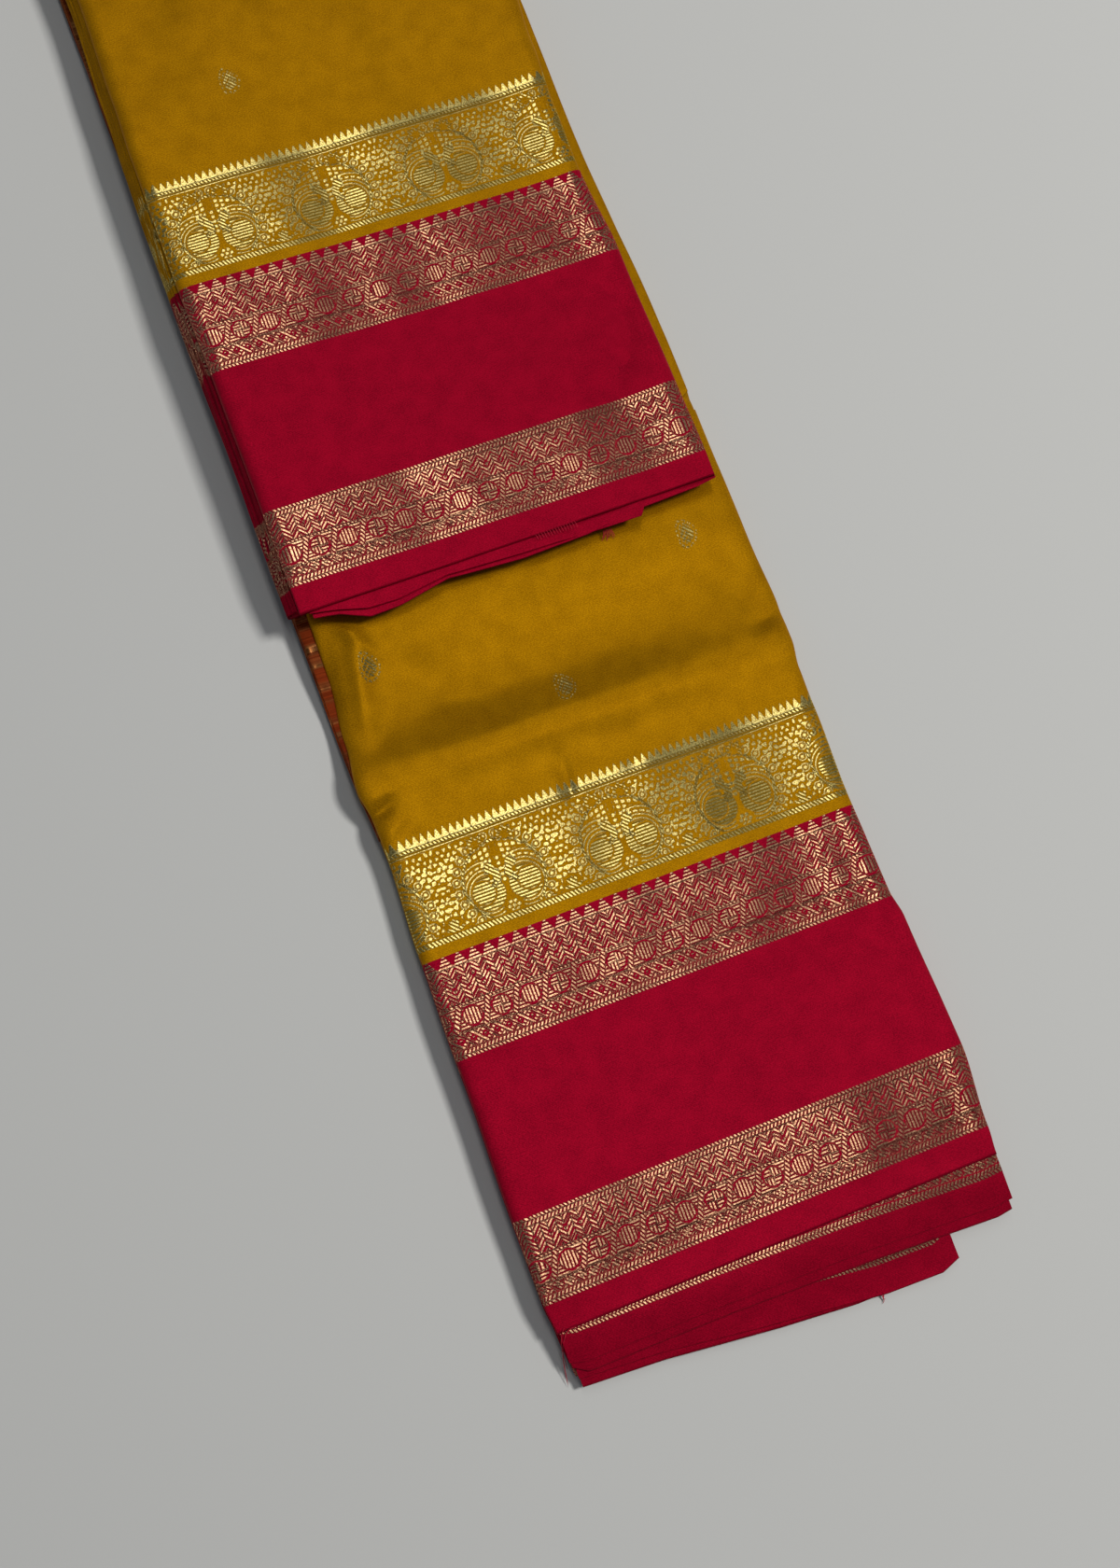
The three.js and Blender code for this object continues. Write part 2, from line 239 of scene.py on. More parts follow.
@dataclass(frozen=True)
class Relief:
    """What one run's top does beyond lying flat: its folds, and its slow swells.

    The swells tip the woven bands towards the light and away from it. Each of their rows has a place across
    the cloth, then the slope there, in hundredths, at each of the places along the strip. The fades say how
    far before the first place the swells start and are whole, and how far past the last they wane and end.
    """

    folds: tuple[Fold, ...]
    places: tuple[float, ...]
    swells: tuple[tuple[float, ...], ...]
    fade_in: Pair = (45, 10)
    fade_out: Pair = (18, 100)

    def height(self, x: Array, y: Array) -> Array:
        """Height of the folds and the swells.

        Args:
            x: across the strip, in millimetres.
            y: along the strip, in millimetres.

        Returns:
            The height in millimetres.
        """
        grid = np.arange(-112.0, 113.0)
        blend = np.interp(y, self.places, range(len(self.places)))
        height = 0
        for k, slope in enumerate(eased_row(self.swells, grid)):
            rise = np.cumsum(slope) * 0.01
            height = height + np.interp(x, grid, rise - rise.mean()) * np.clip(1 - np.abs(blend - k), 0, 1)
        first, last = self.places[0], self.places[-1]
        fade_out = 1 - ease(y, last + self.fade_out[0], last + self.fade_out[1])
        fade_in = ease(y, first - self.fade_in[0], first - self.fade_in[1])
        return sum(fold.height(x, y) for fold in self.folds) + height * fade_out * fade_in


LOWER_RELIEF = Relief(LOWER_FOLDS, (30, 135, 185), LOWER_SWELLS)
UPPER_RELIEF = Relief(UPPER_FOLDS, (345, 455, 500), UPPER_SWELLS)


def crumple(x: Array, y: Array) -> Array:
    """Fine unevenness of handled silk, about a fifth of a millimetre at most."""
    ripples = ((0.07, 8.3, 19, 1.3), (0.06, -27, 6.1, 0), (0.05, 4.7, -9.2, 0.6), (0.04, 5.3, 3.9, 2.1))
    return sum(height * np.sin(x / across + y / along + start) for height, across, along, start in ripples)


@dataclass(frozen=True)
class Strip:
    """The cloth folded in a strip of plies, turned over once. Sizes in millimetres, as in the source.

    stack is the height of one run, wall the outside ply's thickness, slack the room under it and slit half
    the gap between the runs. The settles give the share of its height that a run keeps at each distance from
    its selvedge. end_curl is the share of its depth that the long edges' curl keeps at a selvedge, and how
    far from there it is whole.
    """

    cloth_width: float = 1170
    selvedge_step: float = 314
    stack: float = 12
    wall: float = 1.2
    slack: float = 0.5
    slit: float = 0.6
    curl_width: float = 6
    curl_depth: float = 2.4
    turn_puff: float = 0.12
    puff_start: float = 620
    low_settle: tuple[Pair, ...] = ((-38, 0.42), (2, 0.86), (45, 1))
    high_settle: tuple[Pair, ...] = ((-16, 0.72), (34, 1))
    end_curl: Pair = (0.12, 40)

    @property
    def turn_length(self) -> float:
        """Length of the turn at mid height."""
        return math.pi * (self.stack + 2 * self.slit) / 2

    @property
    def turn_start(self) -> float:
        """Place along the strip where the turn starts."""
        return (self.cloth_width + self.selvedge_step - self.turn_length) / 2

    @property
    def turn_end(self) -> float:
        """Place along the strip where the turn ends."""
        return self.turn_start + self.turn_length

    def y_of(self, s: Array) -> Array:
        """How far along Y a place of the strip lies, ignoring the turn's small radius."""
        back = self.turn_start - (s - self.turn_end)
        return np.where(s <= self.turn_start, s, np.where(s >= self.turn_end, back, self.turn_start))

    def edges(self, s: Array) -> tuple[Array, Array]:
        """Left and right edge of the outside ply at s, on whichever run it lies.

        Args:
            s: places along the strip.

        Returns:
            Left and right x.
        """
        y = self.y_of(s)
        low, high = eased_row(LOWER_OUTLINE, y), eased_row(UPPER_OUTLINE, y)
        share = ease(s, self.turn_start - 20, self.turn_end + 20)
        return low[0] + (high[0] - low[0]) * share, low[1] + (high[1] - low[1]) * share

    def curl_drop(self, s: Array) -> Array:
        """Depth of the long edges' curl at s, flatter near a selvedge.

        Args:
            s: places along the strip.

        Returns:
            The depth in millimetres.
        """
        least, whole = self.end_curl
        open_end = np.minimum(s, self.cloth_width - s)
        return self.curl_depth * (least + (1 - least) * ease(open_end, 0, whole))

    def carried(self, depth: Array) -> Array:
        """Share of a fold's height that reaches a ply at this depth."""
        return np.clip((self.stack - depth) / (self.stack - self.wall - self.slack), 0, 1)

    def place(self, x: Array, s: Array, h: Array) -> tuple[Array, Array, Array]:
        """Lays a point of the flat strip where it goes once the strip is turned over.

        Args:
            x: across the strip.
            s: along the strip.
            h: up through its plies, 0 on the outside of the turn.

        Returns:
            x, y and z in millimetres.
        """
        x, s, h = np.broadcast_arrays(np.asarray(x, float), np.asarray(s, float), np.asarray(h, float))
        middle = self.stack + self.slit
        reach = middle - h
        angle = math.pi * np.clip(s - self.turn_start, 0, self.turn_length) / self.turn_length
        y = self.y_of(s) + reach * np.sin(angle)
        z = middle - reach * np.cos(angle)
        relief = (LOWER_RELIEF.height(x, y) + crumple(x, y)) * self.carried(self.stack - h)
        low = z * eased_row(self.low_settle, y)[0] + relief
        relief = (UPPER_RELIEF.height(x, y) + crumple(y, x)) * self.carried(h)
        high = middle + (z - middle) * eased_row(self.high_settle, y - self.selvedge_step)[0] + relief
        z = np.where(s < self.turn_start, low, np.where(s > self.turn_end, high, z))
        return x, y, z * (1 + self.turn_puff * ease(y, self.puff_start, self.turn_start))


@dataclass(frozen=True)
class Border:
    """Widths of the woven border, from the selvedge inwards, in millimetres."""

    margin: float = 12
    narrow_band: float = 35
    plain_red: float = 68
    wide_band: float = 42.5
    piping: float = 5
    gold_band: float = 43.3
    spikes: float = 4.7
    bead_pitch: float = 25.7
    arch_pitch: float = 53
    point_pitch: float = 6.45
    spike_pitch: float = 3.25

    @property
    def wide_start(self) -> float:
        """Distance of the wide band from the selvedge."""
        return self.margin + self.narrow_band + self.plain_red

    @property
    def red_width(self) -> float:
        """Width of the crimson border."""
        return self.wide_start + self.wide_band

    @property
    def gold_start(self) -> float:
        """Distance of the gold band from the selvedge."""
        return self.red_width + self.piping


def tri(t: Array) -> Array:
    """Triangle wave of period 1: 1 at whole numbers and 0 half way between them."""
    return np.abs((t % 1) - 0.5) * 2


def disc(u: Array, v: Array, cu: float, cv: float, r: float) -> Array:
    """Depth inside a round spot, in millimetres, negative outside."""
    return r - np.hypot(u - cu, v - cv)


def bar(u: Array, v: Array, a: Pair, b: Pair, w: float) -> Array:
    """Depth inside a straight line of width w with round ends.

    Args:
        u: across the cloth.
        v: along the cloth.
        a: one end.
        b: the other end.
        w: width in millimetres.

    Returns:
        The depth, negative outside.
    """
    du, dv = b[0] - a[0], b[1] - a[1]
    t = np.clip(((u - a[0]) * du + (v - a[1]) * dv) / (du * du + dv * dv), 0, 1)
    return w / 2 - np.hypot(u - a[0] - t * du, v - a[1] - t * dv)


class Lay(Enum):
    """Direction of the zari's strokes, in radians from across the cloth. SOLID has no gaps in it."""

    ACROSS = 0.0
    RISING = math.pi / 4
    STEEP = math.pi / 3
    UPRIGHT = math.pi / 2
    FALLING = -math.pi / 4
    LEANING = -math.pi / 3
    SOLID = 9.0


# Cover of plain ground, well outside every figure, in millimetres.
BARE = -3.0


class Zari:
    """The zari that lies on the face of the cloth, built up figure by figure.

    cover is the depth inside the nearest figure in millimetres, negative on the plain ground. lay is the
    direction of that figure's binding lines.
    """

    def __init__(self, u: Array, v: Array) -> None:
        """Starts with plain ground at every point.

        Args:
            u: millimetres across the stretch.
            v: millimetres from the nearest selvedge.
        """
        self.u, self.v = u, v
        self.cover = np.full(u.shape, BARE)
        self.lay = np.zeros(u.shape)

    def add(self, shape: Array, lay: Lay = Lay.RISING, within: Optional[Array] = None) -> None:
        """Adds a figure.

        Args:
            shape: depth inside the figure.
            lay: direction of its strokes.
            within: if given, the figure is added only where this is positive.
        """
        shape = shape if within is None else np.minimum(shape, within)
        self.lay = np.where(shape > self.cover, lay.value, self.lay)
        self.cover = np.maximum(self.cover, shape)

    def cut(self, shape: Array, within: Optional[Array] = None) -> None:
        """Takes a shape out of the figures.

        Args:
            shape: depth inside the shape.
            within: if given, the shape is cut only where this is positive.
        """
        if within is not None:
            shape = np.minimum(shape, within)
        self.cover = np.minimum(self.cover, -shape)


@dataclass(frozen=True)
class CopperBand:
    """A woven copper zari band: a row of beads between herringbone ground, lozenges and edgings.

    bead_height is how high its bead row lies and bead_row half that row's height. bead is a bead's radius and
    gap the red left round it. line is the width of the red lines in the herringbone, and rule half that of
    the lines beside the beads. edge is an edging's width and points the height of the temple points, and
    each has its room, the height that the ground leaves free for it.
    """

    start: float
    height: float
    bead_height: float
    pitch: float
    phase: float
    point_pitch: float
    pointed: bool
    bead: float = 4.1
    gap: float = 0.4
    line: float = 0.5
    bead_row: float = 5.4
    rule: float = 0.55
    edge: float = 3.3
    edge_room: float = 3.6
    points: float = 5.9
    points_room: float = 5.0

    def weave(self, zari: Zari) -> None:
        """Adds the band to the cloth's zari.

        Args:
            zari: the cloth's zari.
        """
        u, h = zari.u - self.phase, zari.v - self.start
        band = np.minimum(h, self.height - h)
        low, high = self.bead_height - self.bead_row, self.bead_height + self.bead_row
        self.edging(zari, h, band)
        self.lozenges(zari, u, h - (self.edge_room + low) / 2, low - self.edge_room - 0.5, band)
        self.beads(zari, u, h - self.bead_height, band)
        for middle in (low, high):
            zari.add(self.rule - np.abs(h - middle), Lay.STEEP, band)
        top = self.height - (self.points_room if self.pointed else self.edge_room)
        self.herringbone(zari, u, h, high + 0.7, top, band)
        if self.pointed:
            reach = ((1 - tri(u / self.point_pitch)) * self.points - (h - top)) * 0.62
            zari.add(np.minimum(h - top + 0.2, reach), Lay.ACROSS, band)
        else:
            self.edging(zari, self.height - h, band)

    def edging(self, zari: Zari, h: Array, band: Array) -> None:
        """Adds two rows of slanted strokes that meet in a point, as along a plait."""
        zari.add(np.minimum(h, self.edge * 0.5 - 0.15 - h), Lay.STEEP, band)
        zari.add(np.minimum(h - self.edge * 0.5, self.edge - h), Lay.LEANING, band)

    def lozenges(self, zari: Zari, u: Array, h: Array, room: float, band: Array) -> None:
        """Adds a chain of hollow lozenges round h = 0, with a dot in each and a cross between them.

        Args:
            zari: the cloth's zari.
            u: millimetres across the cloth, from a repeat's middle.
            h: millimetres up from the chain's middle.
            room: height of the chain.
            band: depth inside the band.
        """
        pitch = self.point_pitch * 0.8
        inside = np.minimum(room / 2 - np.abs(h), band)
        across = (1 - tri(u / pitch)) * pitch / 2
        size = across + np.abs(h)
        past = size - room * 0.42
        zari.add(0.66 - np.abs(past) * 0.8, Lay.RISING, inside)
        zari.add(0.8 - size, Lay.ACROSS, inside)
        zari.add(past - 1.35, Lay.FALLING, inside)

    def herringbone(self, zari: Zari, u: Array, h: Array, low: float, high: float, band: Array) -> None:
        """Fills a stretch with short strokes that turn at each point, parted by zigzags and lozenges.

        Args:
            zari: the cloth's zari.
            u: millimetres across the cloth, from a repeat's middle.
            h: millimetres up from the band's lower edge.
            low: where it starts.
            high: where it ends.
            band: depth inside the band.
        """
        room = np.minimum(np.minimum(h - low, high - h), band)
        turn = tri(u / self.point_pitch)
        rising = ((u / self.point_pitch) % 1) < 0.5
        zari.add(np.where(rising, room, BARE), Lay.RISING)
        zari.add(np.where(rising, BARE, room), Lay.FALLING)
        count = 3 if high - low > 12 else 2
        step = (high - low) / count
        for k in range(count):
            middle = low + step * (k + 0.5)
            wave = h - middle - (turn - 0.5) * step * 0.62
            zari.cut(self.line * 0.6 - np.abs(wave) * 0.8, room)
            size = (1 - tri(u / self.point_pitch + 0.5 * (k % 2))) * self.point_pitch / 2
            shape = size + np.abs(h - low - step * k - (0.4 if k == 0 else 0))
            zari.cut(self.line * 0.62 - np.abs(shape - 1.5) * 0.8, room)
            zari.add(0.7 - shape, Lay.SOLID, room)

    def beads(self, zari: Zari, u: Array, h: Array, band: Array) -> None:
        """Adds the beads, quartered and plain in turn, with slanted bars between them.

        Args:
            zari: the cloth's zari.
            u: millimetres across the cloth, from a repeat's middle.
            h: millimetres up from the beads' middle.
            band: depth inside the band.
        """
        room = np.minimum(4.9 - np.abs(h), band)
        cell = ((u / self.pitch + 0.25) % 1 - 0.25) * self.pitch
        side = ((u / self.pitch * 2) % 1 - 0.5) * self.pitch / 2
        lean = side - h * 0.42
        clear = np.hypot(np.abs(side) - self.pitch / 4, h) - self.bead - self.gap
        zari.add(np.minimum(clear, np.abs(lean) - 1.5), Lay.ACROSS, room)
        zari.add(np.minimum(clear, 1.1 - np.abs(lean)), Lay.STEEP, room)
        radius = self.bead - 0.3
        inside = radius - np.hypot(cell, h)
        upright = cell * h > 0
        zari.add(np.where(upright, inside, BARE), Lay.UPRIGHT, room)
        zari.add(np.where(upright, BARE, inside), Lay.ACROSS, room)
        plain = cell - self.pitch / 2
        zari.add(radius - np.hypot(plain * 0.95, h * 1.04), Lay.UPRIGHT, room)


@dataclass(frozen=True)
class GoldBand:
    """The pale gold band: facing peacocks under round arches in a ground of petals, ending in spikes.

    Places are measured from the middle of an arch and from the band's lower edge: the arch's centre, each
    bird's body, the rosettes over them and the foot of the sprigs. fans is how many fans go round a whole
    circle of the arch, tail the radii of the tail's arcs, scallops how many a rosette has, and scatter how
    far the ground's petals stray from their rows and columns.
    """

    start: float
    height: float
    spikes: float
    pitch: float
    phase: float
    spike_pitch: float
    arch_centre: float = 17.2
    arch: float = 20.6
    fans: int = 26
    body_at: Pair = (8.2, 13.4)
    body: float = 7.1
    tail: tuple[float, ...] = (7.4, 8.9, 10.4, 12.2, 13.7)
    rosette_at: Pair = (6.6, 35.0)
    scallops: int = 8
    sprig_at: Pair = (26.5, 3.2)
    petal_row: float = 2.5
    petal_step: float = 2.7
    scatter: float = 0.45

    def weave(self, zari: Zari) -> None:
        """Adds the band to the cloth's zari.

        Args:
            zari: the cloth's zari.
        """
        h = zari.v - self.start
        band = np.minimum(h - 2.6, self.height - 4.2 - h)
        u = (((zari.u - self.phase) / self.pitch + 0.5) % 1 - 0.5) * self.pitch
        side = np.abs(u)
        self.ground(zari, side, h, band)
        self.arches(zari, u, side, h, band)
        self.peacock(zari, side, h, band)
        self.edges(zari, h)

    def ground(self, zari: Zari, side: Array, h: Array, band: Array) -> None:
        """Close-set petals, with a sprig of three leaves half way between two arches.

        Args:
            zari: the cloth's zari.
            side: millimetres from the middle of an arch, either way.
            h: millimetres up from the band's lower edge.
            band: depth inside the band.
        """
        row = np.round(h / self.petal_row)
        shift = np.where(row % 2 == 0, 0.0, 1.3)
        column = np.round((side - shift) / self.petal_step)
        jitter = np.sin(column * 12.9 + row * 7.3)
        du = side - shift - column * self.petal_step - self.scatter * jitter
        dv = h - row * self.petal_row - self.scatter * np.sin(column * 4.1 + row * 2.7)
        turn = np.arctan2(dv, du) + 3.1 * np.sin(column * 8.3 + row * 5.1)
        reach = np.hypot(du, dv)
        lobes = 1.0 + 0.22 * jitter + 0.26 * np.cos(turn * np.where((column + row) % 3 == 0, 2, 3))
        zari.add(lobes - reach, Lay.SOLID, band)
        foot_u, foot_h = self.sprig_at
        zari.cut(disc(side, h, foot_u, foot_h + 1.8, 4.6), band + 2)
        for lean, length in ((-1.2, 3.6), (-0.4, 4.4), (0.0, 4.6)):
            tip = (foot_u + length * math.sin(lean), foot_h + length * math.cos(lean))
            zari.add(bar(side, h, self.sprig_at, tip, 1.4), Lay.RISING, band + 0.6)

    def arches(self, zari: Zari, u: Array, side: Array, h: Array, band: Array) -> None:
        """A round arch of small fans round the pair of birds, with two rosettes over it.

        Args:
            zari: the cloth's zari.
            u: millimetres across the cloth, from a repeat's middle.
            side: millimetres from the middle of an arch, either way.
            h: millimetres up from the band's lower edge.
            band: depth inside the band.
        """
        r = np.hypot(u, h - self.arch_centre)
        turn = np.arctan2(h - self.arch_centre, u)
        zari.cut(self.arch + 1.2 - r, band + 2)
        along = (tri(turn * self.fans / math.tau) - 1) * self.arch * math.pi / self.fans
        fan = np.hypot(along, r - self.arch + 0.5)
        zari.add(2.1 - fan, Lay.SOLID, band)
        zari.cut(0.26 - np.abs(fan - 1.15) * 0.9, band + 2)
        zari.add(0.55 - np.abs(r - self.arch + 3.1), Lay.STEEP, band)
        zari.cut(disc(side, h, *self.rosette_at, 4.6), band)
        du, dv = side - self.rosette_at[0], h - self.rosette_at[1]
        bearing = np.arctan2(dv, du)
        reach = np.hypot(du, dv)
        zari.add(3.7 + 0.55 * np.cos(bearing * self.scallops) - reach, Lay.RISING, band)
        zari.cut(0.3 - tri(bearing * self.scallops / math.tau + 0.5) * reach * 0.35, 3.4 - reach)
        zari.cut(0.3 - np.abs(reach - 1.5), band)

    def peacock(self, zari: Zari, side: Array, h: Array, band: Array) -> None:
        """One of two facing birds: a round hatched body, a curved neck and a tail of nested arcs.

        Args:
            zari: the cloth's zari.
            side: millimetres from the middle of an arch, either way.
            h: millimetres up from the band's lower edge.
            band: depth inside the band.
        """
        inside = np.minimum(self.arch - 3.6 - np.hypot(side, h - self.arch_centre), band)
        bx, by = self.body_at
        reach = np.hypot(side - bx, (h - by) * 0.96)
        zari.add(np.minimum(side - 1.2, inside), Lay.SOLID)
        for k, r in enumerate(self.tail):
            zari.cut((0.3, 0.42)[k % 2] - np.abs(reach - r) * 0.9, inside)
        spokes = tri(np.arctan2(h - by, side - bx) * self.fans / math.tau)
        zari.cut(np.minimum(0.75 - spokes * 3.0, 0.8 - np.abs(reach - 11.3)), inside)
        petals = np.maximum(tri(h / 2.4 + side / 9), tri(side / 2.6 + 0.2))
        zari.cut(np.minimum(petals * 2.2 - 1.45, reach - 13.9), inside)
        body = self.body - reach
        zari.add(np.minimum(body, side - 0.5), Lay.ACROSS, band)
        wing = disc(side, h, bx + 2.0, by + 0.8, 5.2)
        zari.cut(0.3 - np.abs(wing) * 0.9, body)
        zari.add(wing - 0.3, Lay.ACROSS, band)
        clear = np.minimum(2.4 - np.abs(side - 3.5), np.minimum(h - by - 5.2, 27.0 - h))
        zari.cut(clear, inside)
        neck = ((3.9, by + 3.0), (2.6, by + 5.5), (2.8, by + 7.6), (4.3, by + 9.2))
        for a, b in zip(neck, neck[1:]):
            zari.add(bar(side, h, a, b, 3.2), Lay.RISING, band)
        zari.add(disc(side, h, 4.8, by + 9.9, 2.4), Lay.RISING, band)
        zari.add(bar(side, h, (3.4, by + 9.6), (1.4, by + 8.4), 1.0), Lay.SOLID, band)
        zari.cut(disc(side, h, 4.6, by + 10.2, 0.4))
        for k in range(5):
            zari.add(disc(side, h, 0.0, by + 3.6 + 2.4 * k, 0.85), Lay.SOLID, band)
        for k in (-1, 0, 1):
            zari.add(disc(side, h, 4.9 + 1.7 * k, by + 13.4 - 0.5 * abs(k), 0.75), Lay.SOLID, band)
        zari.cut(disc(side, h, 0.0, 5.4, 4.3), band + 2)
        for k in range(7):
            a, r = (k - 1) * math.pi / 3, 0 if k == 0 else 2.15
            zari.add(disc(side, h, abs(r * math.cos(a)), 5.2 + r * math.sin(a), 0.82), Lay.SOLID)

    def edges(self, zari: Zari, h: Array) -> None:
        """Slanted edgings at the bottom and at the top, with a fine line and a row of spikes over them.

        Args:
            zari: the cloth's zari.
            h: millimetres up from the band's lower edge.
        """
        zari.cut(np.minimum(3.1 - h, h + 0.3))
        zari.add(np.minimum(h + 0.1, 2.4 - h), Lay.STEEP)
        over = h - self.height
        zari.cut(np.minimum(over + 3.8, -over))
        zari.add(np.minimum(over + 2.2, -over - 0.1), Lay.STEEP)
        zari.add(0.5 - np.abs(over + 3.1), Lay.ACROSS)
        peak = 1 - tri(zari.u / self.spike_pitch)
        reach = peak * self.spikes - over
        zari.add(np.minimum(over + 0.9, reach * 0.45), Lay.SOLID)


@dataclass(frozen=True)
class Buttis:
    """Small zari leaves in staggered rows on the mustard body: a rim of scallops round a veined heart."""

    first_row: float = 249.6
    row_pitch: float = 42.0
    pitch: float = 152
    half_size: Pair = (5.0, 7.4)
    scallops: int = 13

    def weave(self, zari: Zari, first: float, lean: float) -> None:
        """Adds the leaves.

        Args:
            zari: the cloth's zari.
            first: where one of the first row lies across the cloth.
            lean: how much the rows climb towards the right, as the cloth lies askew.
        """
        height = zari.v - self.first_row - lean * zari.u
        row = np.maximum(np.round(height / self.row_pitch), 0)
        h = height - row * self.row_pitch
        shift = np.where(row % 2 == 0, first, first + self.pitch / 2)
        u = (((zari.u - shift) / self.pitch + 0.5) % 1 - 0.5) * self.pitch
        a, b = self.half_size
        bend = u + 0.03 * h * h - 0.6
        depth = (1 - np.hypot(bend / a / (1 - 0.2 * h / b), h / b)) * a
        clear = np.where((np.abs(u) < 9) & (np.abs(h) < 10), -BARE, BARE)
        turn = np.arctan2(h, bend * 1.3)
        zari.add(depth + 0.35 * np.cos(turn * self.scallops) - 0.2, Lay.RISING, clear)
        zari.cut(0.3 - np.abs(depth - 1.5) * 0.9, clear)
        zari.cut(np.minimum(0.3 - tri(turn * self.scallops / math.tau + 0.5) * 0.9, 1.4 - depth), clear)
        veins = 0.32 - np.abs((np.abs(bend) * 0.9 + h * 0.75 + 20) % 2.2 - 1.1)
        zari.cut(veins, np.minimum(depth - 1.8, clear))


STRIP = Strip()
BORDER = Border()


@dataclass(frozen=True)
class BorderedSilk:
    """Cloth with the whole border and the body's leaves, and where each repeat starts across it.

    lean is how much the rows of leaves climb towards the right, as the cloth lies askew.
    """

    narrow: float
    wide: float
    gold: float
    leaves: float
    lean: float = 0.0

    def weave(self, u: Array, v: Array) -> Zari:
        """Weaves the zari.

        Args:
            u: millimetres across the stretch.
            v: millimetres from the nearest selvedge.

        Returns:
            The zari at each point.
        """
        b = BORDER
        zari = Zari(u, v)
        CopperBand(b.margin, b.narrow_band, 13.6, b.bead_pitch, self.narrow, b.point_pitch, False).weave(zari)
        CopperBand(b.wide_start, b.wide_band, 15.8, b.bead_pitch, self.wide, b.point_pitch, True).weave(zari)
        GoldBand(b.gold_start, b.gold_band, b.spikes, b.arch_pitch, self.gold, b.spike_pitch).weave(zari)
        Buttis().weave(zari, self.leaves, self.lean)
        return zari


@dataclass(frozen=True)
class FleckedSilk:
    """The pallu's cloth, with staggered rows of fine flecks."""

    across: float = 1.7
    along: float = 1.5
    radius: float = 0.3

    def weave(self, u: Array, v: Array) -> Zari:
        """Weaves the flecks, which swell and fade along each row.

        Args:
            u: millimetres across the cloth.
            v: millimetres along it.

        Returns:
            The zari at each point.
        """
        zari = Zari(u, v)
        row = v / self.along
        near = np.hypot((u / self.across + 0.5 * (np.round(row) % 2)) % 1 - 0.5, row % 1 - 0.5)
        zari.add((self.radius - near) * 1.5 * np.sin(u * 3.1 + v * 0.37) ** 2, Lay.SOLID)
        return zari


LOWER_RUN = BorderedSilk(narrow=-45.6, wide=-47.4, gold=-53.2, leaves=1.0, lean=0.065)
UPPER_RUN = BorderedSilk(narrow=-77.0, wide=-75.5, gold=-69.5, leaves=-41.0)
PALLU = FleckedSilk()


def hex_colour(code: str, alpha: float = 1.0) -> tuple[float, float, float, float]:
    """Turns an sRGB hex colour, such as "B8820A", into linear red, green and blue.

    Args:
        code: the sRGB hex code.
        alpha: the alpha to give it.

    Returns:
        Red, green, blue and alpha.
    """
    parts = [int(code[k:k + 2], 16) / 255 for k in (0, 2, 4)]
    r, g, b = (c / 12.92 if c <= 0.04045 else ((c + 0.055) / 1.055) ** 2.4 for c in parts)
    return (r, g, b, alpha)


def add_node(tree: bpy.types.NodeTree, kind: str, settings: Optional[dict] = None,
             links: Optional[dict] = None) -> bpy.types.Node:
    """Adds a node with its settings and links.

    Args:
        tree: the node tree.
        kind: the node's type name.
        settings: values for its properties (by name) and for its inputs (by number or "in:Name").
        links: output sockets to link to its inputs, by number or name.

    Returns:
        The new node.
    """
    node = tree.nodes.new(kind)
    for key, value in (settings or {}).items():
        if isinstance(key, int):
            node.inputs[key].default_value = value
        elif key.startswith("in:"):
            node.inputs[key[3:]].default_value = value
        else:
            setattr(node, key, value)
    for key, socket in (links or {}).items():
        tree.links.new(socket, node.inputs[key])
    return node


